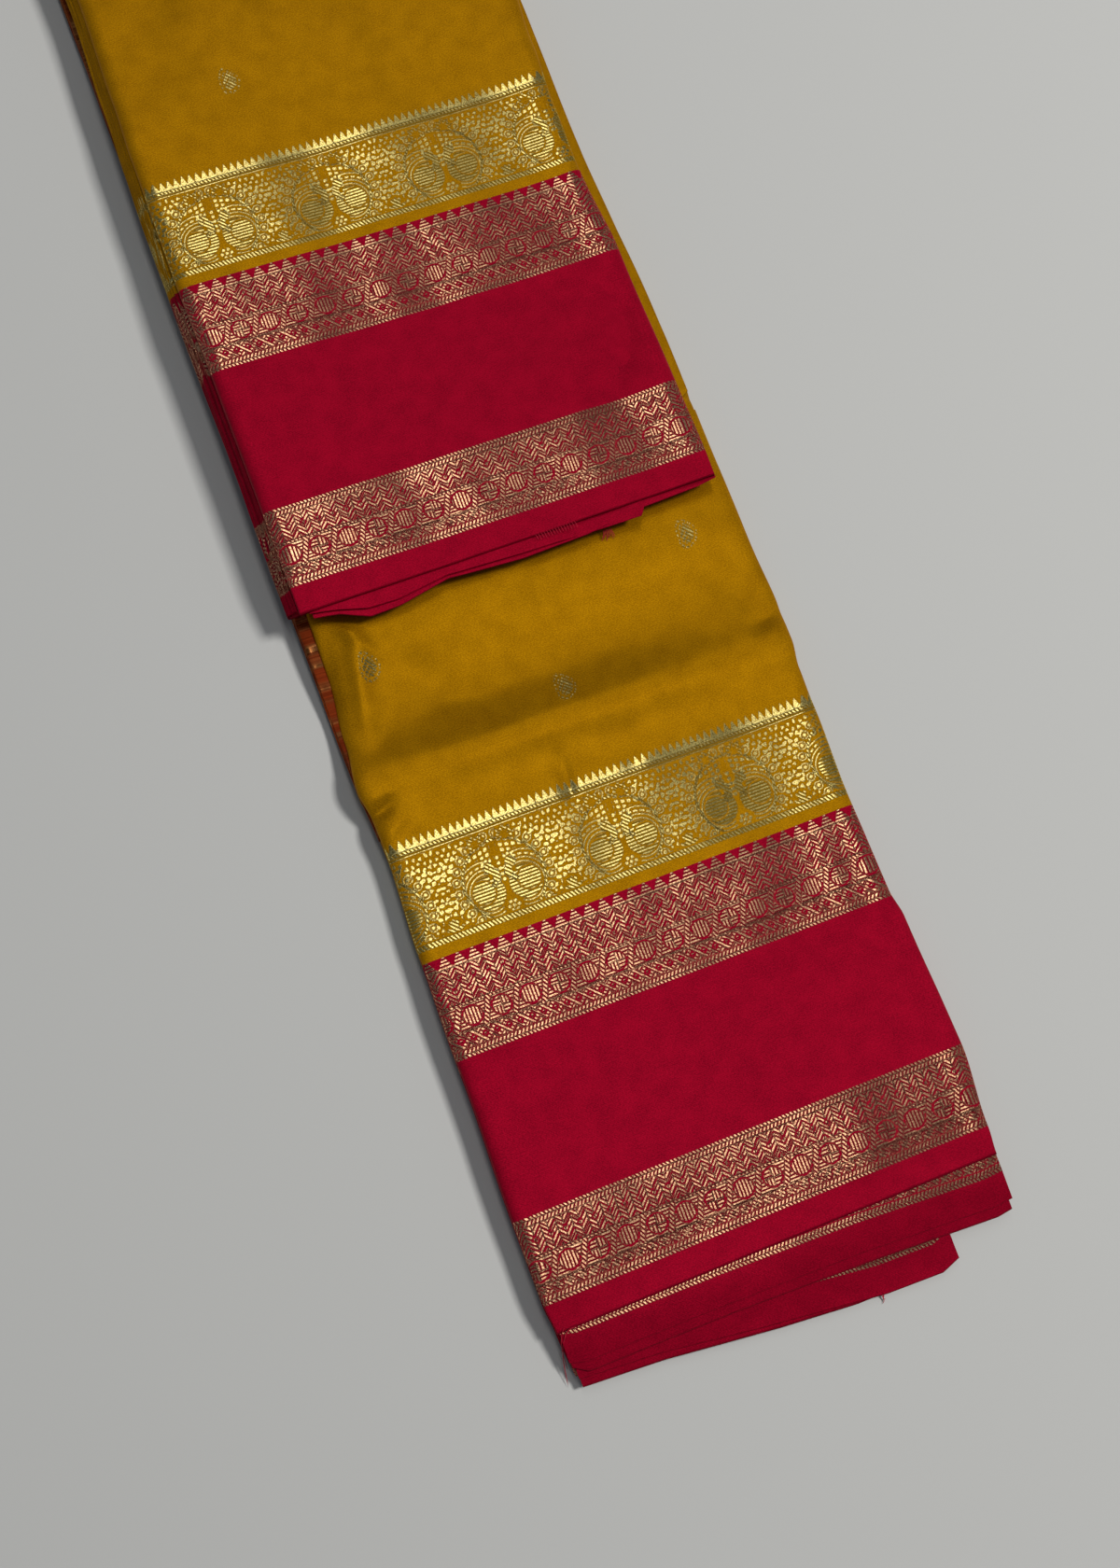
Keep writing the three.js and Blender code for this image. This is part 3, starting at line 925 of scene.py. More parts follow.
@dataclass(frozen=True)
class WovenSilk:
    """Satin-faced mulberry silk with zari on its face, woven by hand on a pit loom.

    The silk is smooth and deep in colour with a soft broad sheen. The zari is silk wound in gilt silver: it
    stands a little proud in short strokes between its binding threads, bright where it faces a light and
    dark where it doesn't. Its strokes are 1.45 mm apart. The real twill is 0.2 mm apart and is drawn at
    0.55 mm, as a finer one doesn't show.

    silk and silk_shade are the two tones of the plain cloth. between is painted shade: the cloth seen between
    a figure's strokes, darkened as if the strokes shaded it. zari and zari_shade are the metal's two tones,
    mixed at random, and part of their difference is painted glint and painted dullness. sheen tints the
    silk's gloss. lustre is how metallic the silk looks, as satin mirrors the light in its own colour.
    """

    name: str
    silk: str
    silk_shade: str
    between: str
    zari: str
    zari_shade: str
    sheen: str
    lustre: float = 0.35
    roughness: float = 0.46
    zari_roughness: float = 0.28
    stroke_pitch: float = 1.45
    grain_pitch: float = 0.55

    def build(self) -> bpy.types.Material:
        """Makes the material.

        Returns:
            The new material.
        """
        material = bpy.data.materials.new(self.name)
        material.use_nodes = True
        tree = material.node_tree
        tree.nodes.clear()

        line = {"in:Distortion": 0.5, "in:Detail": 1.0, "in:Detail Scale": 1.5}
        smooth = {"interpolation_type": "SMOOTHSTEP"}
        blend = {"data_type": "RGBA"}
        sheen = hex_colour(self.sheen)
        uv = add_node(tree, "ShaderNodeUVMap", {"uv_map": "cloth_mm"}).outputs[0]
        cover = add_node(tree, "ShaderNodeAttribute", {"attribute_name": "zari"}).outputs["Fac"]
        lay = add_node(tree, "ShaderNodeAttribute", {"attribute_name": "lay"}).outputs["Fac"]
        turned = add_node(tree, "ShaderNodeVectorRotate", {"rotation_type": "Z_AXIS"},
                          {"Vector": uv, "Angle": lay}).outputs[0]
        cloudy = add_node(tree, "ShaderNodeTexNoise", {"in:Scale": 0.11, "in:Detail": 3.0},
                          {"Vector": uv}).outputs[0]
        slub = add_node(tree, "ShaderNodeTexNoise", {"in:Scale": 1.5, "in:Detail": 3.0, "in:Roughness": 0.6},
                        {"Vector": uv}).outputs[0]
        wave = add_node(tree, "ShaderNodeTexWave",
                        {"bands_direction": "Y", "in:Scale": math.tau / 20 / self.stroke_pitch, **line},
                        {"Vector": turned}).outputs["Fac"]
        strokes = add_node(tree, "ShaderNodeMapRange", {**smooth, 1: 0.28, 2: 0.6}, {0: wave}).outputs[0]
        solid = add_node(tree, "ShaderNodeMapRange", {**smooth, 1: 3.0, 2: 6.0, 4: 0.9}, {0: lay}).outputs[0]
        stroke = add_node(tree, "ShaderNodeMath", {"operation": "MAXIMUM"}, {0: strokes, 1: solid}).outputs[0]
        inside = add_node(tree, "ShaderNodeMapRange", {**smooth, 1: -0.1, 2: 0.16}, {0: cover}).outputs[0]
        metal = add_node(tree, "ShaderNodeMath", {"operation": "MULTIPLY"}, {0: stroke, 1: inside}).outputs[0]
        grain = add_node(tree, "ShaderNodeTexWave",
                         {"bands_direction": "DIAGONAL", "in:Scale": math.tau / 20 / self.grain_pitch, **line,
                          "in:Distortion": 1.4}, {"Vector": uv}).outputs["Fac"]
        broad = add_node(tree, "ShaderNodeMapRange", {**smooth, 1: 0.2, 2: 0.8, 3: 0.0, 4: 0.3},
                         {0: cloudy}).outputs[0]
        speckle = add_node(tree, "ShaderNodeMapRange", {**smooth, 1: 0.34, 2: 0.66, 3: 0.0, 4: 0.6},
                           {0: slub}).outputs[0]
        uneven = add_node(tree, "ShaderNodeMath", {"operation": "ADD"}, {0: broad, 1: speckle}).outputs[0]
        weave = add_node(tree, "ShaderNodeMath", {"operation": "MULTIPLY_ADD", 1: 0.25},
                         {0: grain, 2: uneven}).outputs[0]
        silk = add_node(tree, "ShaderNodeMix",
                        {**blend, 6: hex_colour(self.silk_shade), 7: hex_colour(self.silk)},
                        {0: weave}).outputs[2]
        # Painted shade: inside a figure the ground between its strokes takes the darker between colour, as if
        # the strokes shaded it.
        ground = add_node(tree, "ShaderNodeMix", {**blend, 7: hex_colour(self.between)},
                          {0: inside, 6: silk}).outputs[2]
        # Partly painted glint: slub noise mixes the zari's bright and dull tones at random, standing in for
        # flashes and dull stretches.
        bright = add_node(tree, "ShaderNodeMapRange", {**smooth, 1: 0.34, 2: 0.6}, {0: slub}).outputs[0]
        thread = add_node(tree, "ShaderNodeMix",
                          {**blend, 6: hex_colour(self.zari_shade), 7: hex_colour(self.zari)},
                          {0: bright}).outputs[2]
        colour = add_node(tree, "ShaderNodeMix", blend, {0: metal, 6: ground, 7: thread}).outputs[2]
        metallic = add_node(tree, "ShaderNodeMapRange", {**smooth, 3: self.lustre, 4: 1.0},
                            {0: metal}).outputs[0]
        rough = add_node(tree, "ShaderNodeMapRange", {**smooth, 3: self.roughness, 4: self.zari_roughness},
                         {0: metal}).outputs[0]
        along = add_node(tree, "ShaderNodeTangent",
                         {"direction_type": "UV_MAP", "uv_map": "cloth_mm"}).outputs[0]
        turning = add_node(tree, "ShaderNodeMath", {"operation": "MULTIPLY", 1: 0.25}, {0: metal}).outputs[0]
        relief = add_node(tree, "ShaderNodeMath", {"operation": "MULTIPLY_ADD", 1: 0.1},
                          {0: grain, 2: metal}).outputs[0]
        bump = add_node(tree, "ShaderNodeBump", {"in:Strength": 0.6, "in:Distance": 0.00014},
                        {"Height": relief}).outputs[0]
        shader = add_node(tree, "ShaderNodeBsdfPrincipled",
                          {"in:Sheen Weight": 0.05, "in:Sheen Roughness": 0.4,
                           "in:Sheen Tint": sheen, "in:Specular Tint": sheen,
                           "in:Specular IOR Level": 0.5, "in:Anisotropic": 0.75},
                          {"Base Color": colour, "Metallic": metallic, "Roughness": rough, "Normal": bump,
                           "Tangent": along, "Anisotropic Rotation": turning})
        add_node(tree, "ShaderNodeOutputMaterial", None, {0: shader.outputs[0]})
        return material


# Mustard satin: a deep warm yellow that turns brown in its folds, with pale gilt figures that flash and dull.
# Its between is painted olive shade between the strokes, and its dull zari tone is partly painted dullness.
MUSTARD = WovenSilk(
    name="mustard satin silk with gilt zari, handwoven",
    silk="C68E08", silk_shade="8C5E04", between="8E6C12",
    zari="F6E492", zari_shade="9C8238", sheen="FFC63A", lustre=0.62, roughness=0.4)
# Crimson satin: an even, saturated red between bands of rosy copper strokes.
# Its between is painted dark red shade between the strokes, and its dull zari tone is partly painted
# dullness.
CRIMSON = WovenSilk(
    name="crimson satin silk with copper zari, handwoven",
    silk="AC0A2C", silk_shade="70041C", between="760C20",
    zari="F6C69C", zari_shade="8E4A38", sheen="F0305A", lustre=0.42, roughness=0.42)
# Shot silk of the pallu: dark rust where crimson warp crosses mustard weft, with a few dull glints.
# Its between is painted near-black shade between the flecks.
RUST = WovenSilk(
    name="mustard silk shot with crimson, handwoven",
    silk="7C3014", silk_shade="501A0A", between="3E0E06",
    zari="B47844", zari_shade="6A3018", sheen="FF8A40")


@dataclass(frozen=True)
class PlainFinish:
    """A finish of one colour and one roughness."""

    name: str
    colour: str
    roughness: float

    def build(self) -> bpy.types.Material:
        """Makes the material.

        Returns:
            The new material.
        """
        material = bpy.data.materials.new(self.name)
        material.use_nodes = True
        shader = material.node_tree.nodes["Principled BSDF"]
        shader.inputs["Base Color"].default_value = hex_colour(self.colour)
        shader.inputs["Roughness"].default_value = self.roughness
        return material


# Spun silk: matt beside the satin, so that a loose thread reads as a fibre and not as a wire.
THREAD = PlainFinish("crimson silk thread, spun", "A81430", 0.7)
# Pale matt board: no gloss and no pattern, so that only the cloth and its shadow are read.
BOARD = PlainFinish("pale matt board", "B6BABD", 0.9)


def grid_mesh(name: str, columns: int, rows: int) -> bpy.types.Object:
    """Adds a flat grid with that many points each way, unwrapped, and returns it.

    Args:
        name: the piece's name.
        columns: points across.
        rows: points along.

    Returns:
        The new object.
    """
    bpy.ops.mesh.primitive_grid_add(x_subdivisions=columns - 1, y_subdivisions=rows - 1, size=2)
    piece = bpy.context.active_object
    piece.name = piece.data.name = name
    return piece


def merge_points(outwards: bool = False) -> None:
    """Merges points of the active piece that fall together.

    Args:
        outwards: whether its faces are turned outwards after that.
    """
    bpy.ops.object.mode_set(mode="EDIT")
    bpy.ops.mesh.select_all(action="SELECT")
    bpy.ops.mesh.remove_doubles(threshold=MERGE)
    if outwards:
        bpy.ops.mesh.normals_make_consistent(inside=False)
    bpy.ops.object.mode_set(mode="OBJECT")


@dataclass
class ClothPiece:
    """A piece of cloth shaped from a fine grid on the strip.

    across and along are the grid's parameters. lay_out turns them into millimetres in space and the cloth
    coordinates u, across, and v, from the nearest selvedge.
    """

    name: str
    across: Array
    along: Array
    lay_out: Callable[[Array, Array], Laid]
    weaving: Union[BorderedSilk, FleckedSilk]
    replaces: tuple[str, ...]
    slot: str
    finishes: tuple[WovenSilk, ...]

    def shape(self, offset: Pair, looks: Looks) -> bpy.types.Object:
        """Makes the mesh with its cloth coordinates, its zari and its finish.

        Args:
            offset: the fitted axes' place in the frame, in millimetres.
            looks: materials made so far, by name.

        Returns:
            The new piece.
        """
        a, b = np.meshgrid(self.across, self.along)
        x, y, z, u, v = self.lay_out(a, b)
        piece = grid_mesh(self.name, len(self.across), len(self.along))
        mesh = piece.data
        flat = np.empty(len(mesh.vertices) * 3)
        mesh.vertices.foreach_get("co", flat)
        spots = flat.reshape(-1, 3)
        column = np.rint((spots[:, 0] + 1) / 2 * (len(self.across) - 1)).astype(int)
        row = np.rint((spots[:, 1] + 1) / 2 * (len(self.along) - 1)).astype(int)
        points = np.stack([x[row, column] + offset[0], y[row, column] + offset[1], z[row, column]], 1) * MM
        mesh.vertices.foreach_set("co", points.astype(np.float32).ravel())
        zari = self.weaving.weave(u, v)
        for title, values in (("zari", zari.cover), ("lay", zari.lay)):
            data = mesh.attributes.new(title, "FLOAT", "POINT").data
            data.foreach_set("value", values[row, column].astype(np.float32))
        corners = np.empty(len(mesh.loops), dtype=np.int64)
        mesh.loops.foreach_get("vertex_index", corners)
        cloth = np.stack([u[row, column], v[row, column]], 1)[corners]
        while mesh.uv_layers:
            mesh.uv_layers.remove(mesh.uv_layers[0])
        mesh.uv_layers.new(name="cloth_mm").data.foreach_set("uv", cloth.astype(np.float32).ravel())
        mesh.polygons.foreach_set("use_smooth", np.ones(len(mesh.polygons), dtype=bool))
        for finish in self.finishes:
            if finish.name not in looks:
                looks[finish.name] = finish.build()
            mesh.materials.append(looks[finish.name])
        if len(self.finishes) > 1:
            far = cloth.reshape(len(mesh.polygons), -1, 2)[:, :, 1].mean(axis=1) > BORDER.red_width
            mesh.polygons.foreach_set("material_index", far.astype(np.int32))
        mesh.update()
        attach(piece, "root")
        if self.replaces:
            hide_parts(*self.replaces)
        LOG.info("%s: %d points", self.name, len(points))
        return piece


@dataclass
class Sheet(ClothPiece):
    """One stretch of cloth as a thin sheet, cut to so many millimetres."""

    flat: Pair = (0.0, 0.0)

    def build(self, offset: Pair, looks: Looks) -> bpy.types.Object:
        """Shapes the sheet.

        Args:
            offset: the fitted axes' place in the frame, in millimetres.
            looks: materials made so far, by name.

        Returns:
            The new piece.
        """
        piece = self.shape(offset, looks)
        bpy.ops.object.select_all(action="DESELECT")
        return piece


@dataclass
class Stack(ClothPiece):
    """A closed block of plies, wrapped round from one long seam that is merged."""

    def build(self, offset: Pair, looks: Looks) -> bpy.types.Object:
        """Shapes the block and merges its seam and its ends.

        Args:
            offset: the fitted axes' place in the frame, in millimetres.
            looks: materials made so far, by name.

        Returns:
            The new piece.
        """
        piece = self.shape(offset, looks)
        merge_points()
        bpy.ops.object.select_all(action="DESELECT")
        return piece


def spaced(stops: Sequence[Pair], start: float) -> Array:
    """Spaces out places along a line.

    Args:
        stops: where to go, and the step between places on the way.
        start: the first place.

    Returns:
        The places in order.
    """
    places = [start]
    for stop, step in stops:
        count = max(1, round(abs(stop - places[-1]) / step))
        places += list(np.linspace(places[-1], stop, count + 1)[1:])
    return np.array(places)


# Steps between rows of points, in millimetres: on woven bands and on plain silk.
FINE, MID = 0.55, 1.2
# Points across an outside ply's flat part, fine and coarse, and in each of its curls.
FLAT_POINTS, COARSE_POINTS, CURL_POINTS = 321, 41, 19
# How far past a selvedge its turned-back rows lie, as row parameters.
LIP_ROWS = (0.9, 0.5, 0.25)
# Column parameter where an outside ply's curl ends, tucked a little under it.
CURL_END = 2.5
# Cloth in the curl for each radian and each millimetre of the curl's width, as the curl is an ellipse.
CURL_STRETCH = 0.78


def cloth_columns() -> Array:
    """Column parameters of an outside ply.

    Returns:
        Parameters from left to right: 1 is where the curl starts and 2 where it is upright.
    """
    flat = np.linspace(-1, 1, FLAT_POINTS)
    curl = np.linspace(1, CURL_END, CURL_POINTS + 1)[1:]
    return np.concatenate([-curl[::-1], flat, curl])


def curled(column: Array, s: Array) -> tuple[Array, Array, Array]:
    """Carries an outside ply over its long edges.

    Args:
        column: column parameters.
        s: place along the strip.

    Returns:
        x, depth under the outer face, and millimetres across the cloth.
    """
    left, right = STRIP.edges(s)
    inset = STRIP.wall / 2 + STRIP.curl_width
    drop = STRIP.curl_drop(s)
    half = (right - left) / 2 - inset
    middle = (left + right) / 2
    turn = np.clip(np.abs(column) - 1, 0, None) * math.pi / 2
    side = np.sign(column)
    normal_x, normal_y = np.sin(turn) / STRIP.curl_width, np.cos(turn) / drop
    size = np.hypot(normal_x, normal_y)
    out = STRIP.wall / 2
    curl_x = STRIP.curl_width * np.sin(turn) + out * normal_x / size
    flat = np.clip(column, -1, 1) * half
    x = middle + flat + np.where(turn > 0, side * curl_x, 0)
    depth = np.where(turn > 0, out + drop * (1 - np.cos(turn)) - out * normal_y / size, 0)
    across = middle + flat + side * turn * STRIP.curl_width * CURL_STRETCH
    return x, depth, across


def folded_edge(over: Array) -> tuple[Array, Array]:
    """How a selvedge turns back under itself.

    Args:
        over: how far past the selvedge a row parameter lies.

    Returns:
        Millimetres back along the strip, and depth under the face.
    """
    return over * 4, np.clip(over / LIP_ROWS[-1], 0, 1) * 0.45


@dataclass
class OutsidePly:
    """The ply on the outside of the turn: under the lower run, round the turn, over the upper run."""

    under_selvedge: float = -17.0

    def lay_out(self, column: Array, row: Array) -> Laid:
        """Places the ply. Rows past the far selvedge fold its edge back under itself.

        Args:
            column: column parameters.
            row: places along the strip.

        Returns:
            Where each point lies, in space and on the cloth.
        """
        end = STRIP.cloth_width
        back, drop = folded_edge(np.clip(row - end, 0, None))
        s = np.minimum(row, end) - back
        x, depth, u = curled(column, s)
        near = BORDER.red_width
        v = np.where(s < near, (s - self.under_selvedge) * near / (near - self.under_selvedge), s)
        v = np.where(s > STRIP.turn_start, end - s, v)
        x, y, z = STRIP.place(x, s, depth + drop)
        return x, y, z, u, v


@dataclass
class InsidePly:
    """The ply on the inside of the turn, which shows on top of the lower run."""

    def lay_out(self, column: Array, row: Array) -> Laid:
        """Places the ply. Rows before the near selvedge fold its edge back under itself.

        Args:
            column: column parameters.
            row: places along the strip.

        Returns:
            Where each point lies, in space and on the cloth.
        """
        back, drop = folded_edge(np.clip(-row, 0, None))
        s = np.maximum(row, 0) + back
        x, depth, u = curled(column, s)
        x, y, z = STRIP.place(x, s, STRIP.stack - (depth + drop))
        return x, y, z, u, s


@dataclass
class LoosePly:
    """A ply that stands out past the one above it at a free end.

    ends gives x and how far past the selvedge above it reaches. top is how deep its face lies under the top
    of its run, and sink how much deeper it lies at each x. tuck is its hidden length, lip how far its folded
    edge drops, pinch the share that it narrows by where it is hidden, and ripple the height of its ripples.
    """

    top: float
    selvedge: float
    ends: Sequence[Pair]
    sink: Sequence[Pair] = ((0, 0),)
    tuck: float = 25
    lip: float = 0.4
    pinch: float = 0.07
    ripple: float = 0.25

    def lay_out(self, share_x: Array, share: Array) -> Laid:
        """Places the ply.

        Args:
            share_x: share of the way from its left to its right.
            share: 0 at its hidden end, 1 at its own selvedge, and on under it.

        Returns:
            Where each point lies, in space and on the cloth.
        """
        lower = self.selvedge < 1
        outwards = -1 if lower else 1
        xs = [e[0] for e in self.ends]
        x = xs[0] + (xs[-1] - xs[0]) * share_x
        reach = np.interp(x, xs, [e[1] for e in self.ends])
        over = np.clip(share - 1, 0, None)
        out = -self.tuck + (reach + self.tuck) * np.clip(share, 0, 1) - over * 8
        s = self.selvedge + outwards * out
        edge = ease(np.abs(share_x - 0.5), 0.46, 0.5)
        squeeze = 1 - self.pinch * ease(-out, 0, 12)
        depth = self.top + np.interp(x, [e[0] for e in self.sink], [e[1] for e in self.sink])
        depth = depth + np.clip(over / 0.03, 0, 1) * self.lip + 0.5 * edge
        depth = depth + self.ripple * np.sin(x / 9 + self.top) * ease(out, 0, reach)
        px, y, z = STRIP.place(x * squeeze, s, STRIP.stack - depth if lower else depth)
        return px, y, z, x, np.abs(reach - out)


@dataclass
class Folds:
    """The folded edges along the long sides of a block of plies.

    count is how many folds show in its thickness, out how far each stands out, points how many points draw
    one, and columns how many points cross the block between its sides.
    """

    count: int
    out: float
    points: int
    columns: int = 9

    def loop(self) -> Array:
        """Loop parameters round the block.

        Returns:
            Parameters from 0 to 1 over the top, to 2 down the right, to 3 under it and to 4 up the left.
        """
        side = np.linspace(0, 1, self.count * self.points + 1)
        face = np.linspace(0, 1, self.columns + 2)
        return np.concatenate([face[:-1], 1 + side[:-1], 2 + face[:-1], 3 + side])

    def standing(self, level: Array, s: Array) -> Array:
        """How far the folds stand out.

        Args:
            level: height in the block, from 0 at the bottom to 1 at the top.
            s: places along the strip.

        Returns:
            The distance in millimetres.
        """
        k = np.floor(np.clip(level, 0, 0.9999) * self.count)
        arch = np.abs(np.sin(math.pi * level * self.count)) ** 0.7
        size = 0.75 + 0.25 * np.sin(k * 2.4 + s / 53)
        wander = 0.3 * np.sin(s / 41 + k * 2.3) + 0.2 * np.sin(s / 17 + k * 1.1) - 0.35 * (k % 2)
        return self.out * arch * size + wander


def around(loop: Array) -> tuple[Array, Array]:
    """Splits loop parameters in two.

    Args:
        loop: loop parameters.

    Returns:
        Places across (0 left, 1 right) and levels (0 bottom, 1 top).
    """
    part = np.clip(np.floor(loop), 0, 3)
    t = loop - part
    sides, zero, one = [part == 0, part == 1, part == 2], np.zeros_like(t), np.ones_like(t)
    return np.select(sides, [t, one, 1 - t], zero), np.select(sides, [one, 1 - t, zero], t)


# Row parameters past which a row belongs to the cap at the block's lower or upper end.
LOW_CAP, HIGH_CAP = -1000.0, 3000.0


@dataclass
class HiddenPlies:
    """The plies that never come to the surface, from one free end round the turn to the other.

    low_end is where the lower free end lies on its left and on its right, shorter_right how much further in
    its right side ends, and high_back how far inside the upper selvedge the other end lies. bottom and top
    are its levels, counted as h is. Each ramp has two places along the strip, and by how much a level rises
    between them: low_ramp the top, past the lower end's loose plies, inner_ramp the top, past the inside
    ply's end, and upper_ramp the bottom, at the upper end's loose plies. pallu has the stretch that stands
    back for the pallu's edges, the level of their top, and how far it stands back. jag is how far every
    other step of a cap stands back, and bulge how far the whole cap stands out. folds_back is how far the
    folds lie inside the outside ply's edges, lean how far the upper run's come out on the left, and tuck
    how far a side lies back where the outside ply curls over it.
    """

    folds: Folds
    caps: int = 7
    low_end: Pair = (-18.0, -30.0)
    shorter_right: float = 28.0
    bottom: float = 0.55
    top: float = 11.3
    low_ramp: tuple[float, float, float] = (27, 31, 2.7)
    inner_ramp: tuple[float, float, float] = (352, 356, 0.7)
    upper_ramp: tuple[float, float, float] = (1140, 1146, 2.6)
    pallu: tuple[float, float, float, float] = (206, 728, 9.2, 8.2)
    jag: float = 0.7
    bulge: float = 0.8
    folds_back: float = 1.4
    lean: float = 5.2
    tuck: float = 0.4
    high_back: float = 3.0

    def rows(self) -> Array:
        """Row parameters of the block.

        Returns:
            Places along the strip, with whole numbers past each end for the caps.
        """
        turn = np.linspace(STRIP.turn_start - 20, STRIP.turn_end + 20, 26)
        body = spaced([(2.0, 2.0), (40.0, 3.0), (340.0, 5.0), (362.0, 3.0), (turn[0], 6.0)], -14.0)
        far = spaced([(1130.0, 5.0), (STRIP.cloth_width - 4, 2.5)], turn[-1])
        cap = np.arange(self.caps + 1)
        return np.concatenate([LOW_CAP - cap[::-1], body, turn[1:-1], far, HIGH_CAP + cap])

    def lay_out(self, loop: Array, row: Array) -> Laid:
        """Places the block, with its ends closed in small steps like stacked selvedges.

        Args:
            loop: loop parameters.
            row: row parameters.

        Returns:
            Where each point lies, in space and on the cloth.
        """
        across, level = around(loop)
        low, high = row <= LOW_CAP, row >= HIGH_CAP
        step = np.where(low, LOW_CAP - row, np.where(high, row - HIGH_CAP, 0))
        shrink = 1 - step / self.caps
        jag = np.where(step % 2 == 1, self.jag, 0.0)
        bulge = (1 - shrink) ** 2 * self.bulge
        low_end = self.low_end[0] + (self.low_end[1] - self.low_end[0]) * across
        high_end = STRIP.cloth_width - self.high_back
        s = np.where(low, low_end + jag - bulge, np.where(high, high_end - jag + bulge, row))
        (low_a, low_b, sunk), (inner_a, inner_b, more) = self.low_ramp, self.inner_ramp
        bottom = self.bottom + self.upper_ramp[2] * ease(s, *self.upper_ramp[:2])
        top = self.top - sunk * (1 - ease(s, low_a, low_b)) + more * ease(s, inner_a, inner_b)
        level_now = 0.5 + (level - 0.5) * shrink
        h = bottom + (top - bottom) * level_now
        left, right = STRIP.edges(s)
        under_top = np.where(s < inner_b, self.inset(s, STRIP.stack - h), 0)
        inset = np.maximum(self.inset(s, h), under_top)
        stand = self.folds.standing(level_now, s) * shrink - self.folds_back
        lean = self.lean * ease(s, STRIP.turn_start, STRIP.turn_end) * ease(h, 3, 9)
        pallu_a, pallu_b, pallu_top, room = self.pallu
        beside_pallu = np.where((s > pallu_a) & (s < pallu_b) & (h < pallu_top), room, 0)
        curled_over = inset > 0.2
        left = left + np.maximum(inset, beside_pallu) - np.where(curled_over, -self.tuck, stand + lean)
        right = right - inset + np.where(curled_over, -self.tuck, stand)
        right = right - self.shorter_right * (1 - ease(s, -31, -24)) * ease(-s, -2, 4)
        x = left + (right - left) * across
        x, y, z = STRIP.place(x, s, h)
        # On the long sides u runs up through the plies, so that the zari shows there as short glints.
        side = np.where((across > 0) & (across < 1), x, 100 + h * 4)
        return x, y, z, side, np.abs(np.minimum(s, STRIP.cloth_width - s))

    def inset(self, s: Array, depth: Array) -> Array:
        """How far in a side has to lie to stay under the outside ply's curl.

        Args:
            s: places along the strip.
            depth: depth under the outside ply's face.

        Returns:
            The distance in millimetres.
        """
        clear, least = 0.6, 0.3
        drop = STRIP.curl_drop(s)
        rise = np.clip((drop + clear - depth) / drop, 0, 1)
        return (STRIP.curl_width + clear) * (1 - np.sqrt(1 - rise * rise)) + np.where(rise > 0, least, 0)


@dataclass
class PalluEdges:
    """Folded edges of the pallu's plies, which stand out along the left of the lower run.

    start and end are places along the strip, and low and high levels in the run. left is where its folds lie
    at its start, swing how much further out they come, and crown the share of their own height that shows.
    """

    folds: Folds
    start: float = 214.0
    end: float = 725.0
    width: float = 8.3
    low: float = 3.2
    high: float = 9.0
    left: float = -97
    swing: float = 1.6
    crown: float = 0.8

    def rows(self) -> Array:
        """Row parameters, with a closing row past each end."""
        body = spaced([(330.0, 2.5), (self.end, 6.0)], self.start)
        return np.concatenate([[self.start - 1], body, [self.end + 1]])

    def lay_out(self, loop: Array, row: Array) -> Laid:
        """Places the block between the hidden plies and the left side.

        Args:
            loop: loop parameters.
            row: row parameters.

        Returns:
            Where each point lies, in space and on the cloth.
        """
        across, level = around(loop)
        shrink = np.where((row < self.start) | (row > self.end), 0.0, 1.0)
        s = np.clip(row, self.start, self.end)
        level = 0.5 + (level - 0.5) * shrink
        h = self.low + (self.high - self.low) * level
        outer = self.left - self.swing * ease(s, self.start, self.start + 30)
        outer = outer - self.folds.standing(level, s) * self.crown * shrink + 0.9
        x, y, z = STRIP.place(outer + self.width * across, s, h)
        return x, y, z, 40 + h * 3, np.abs(s)


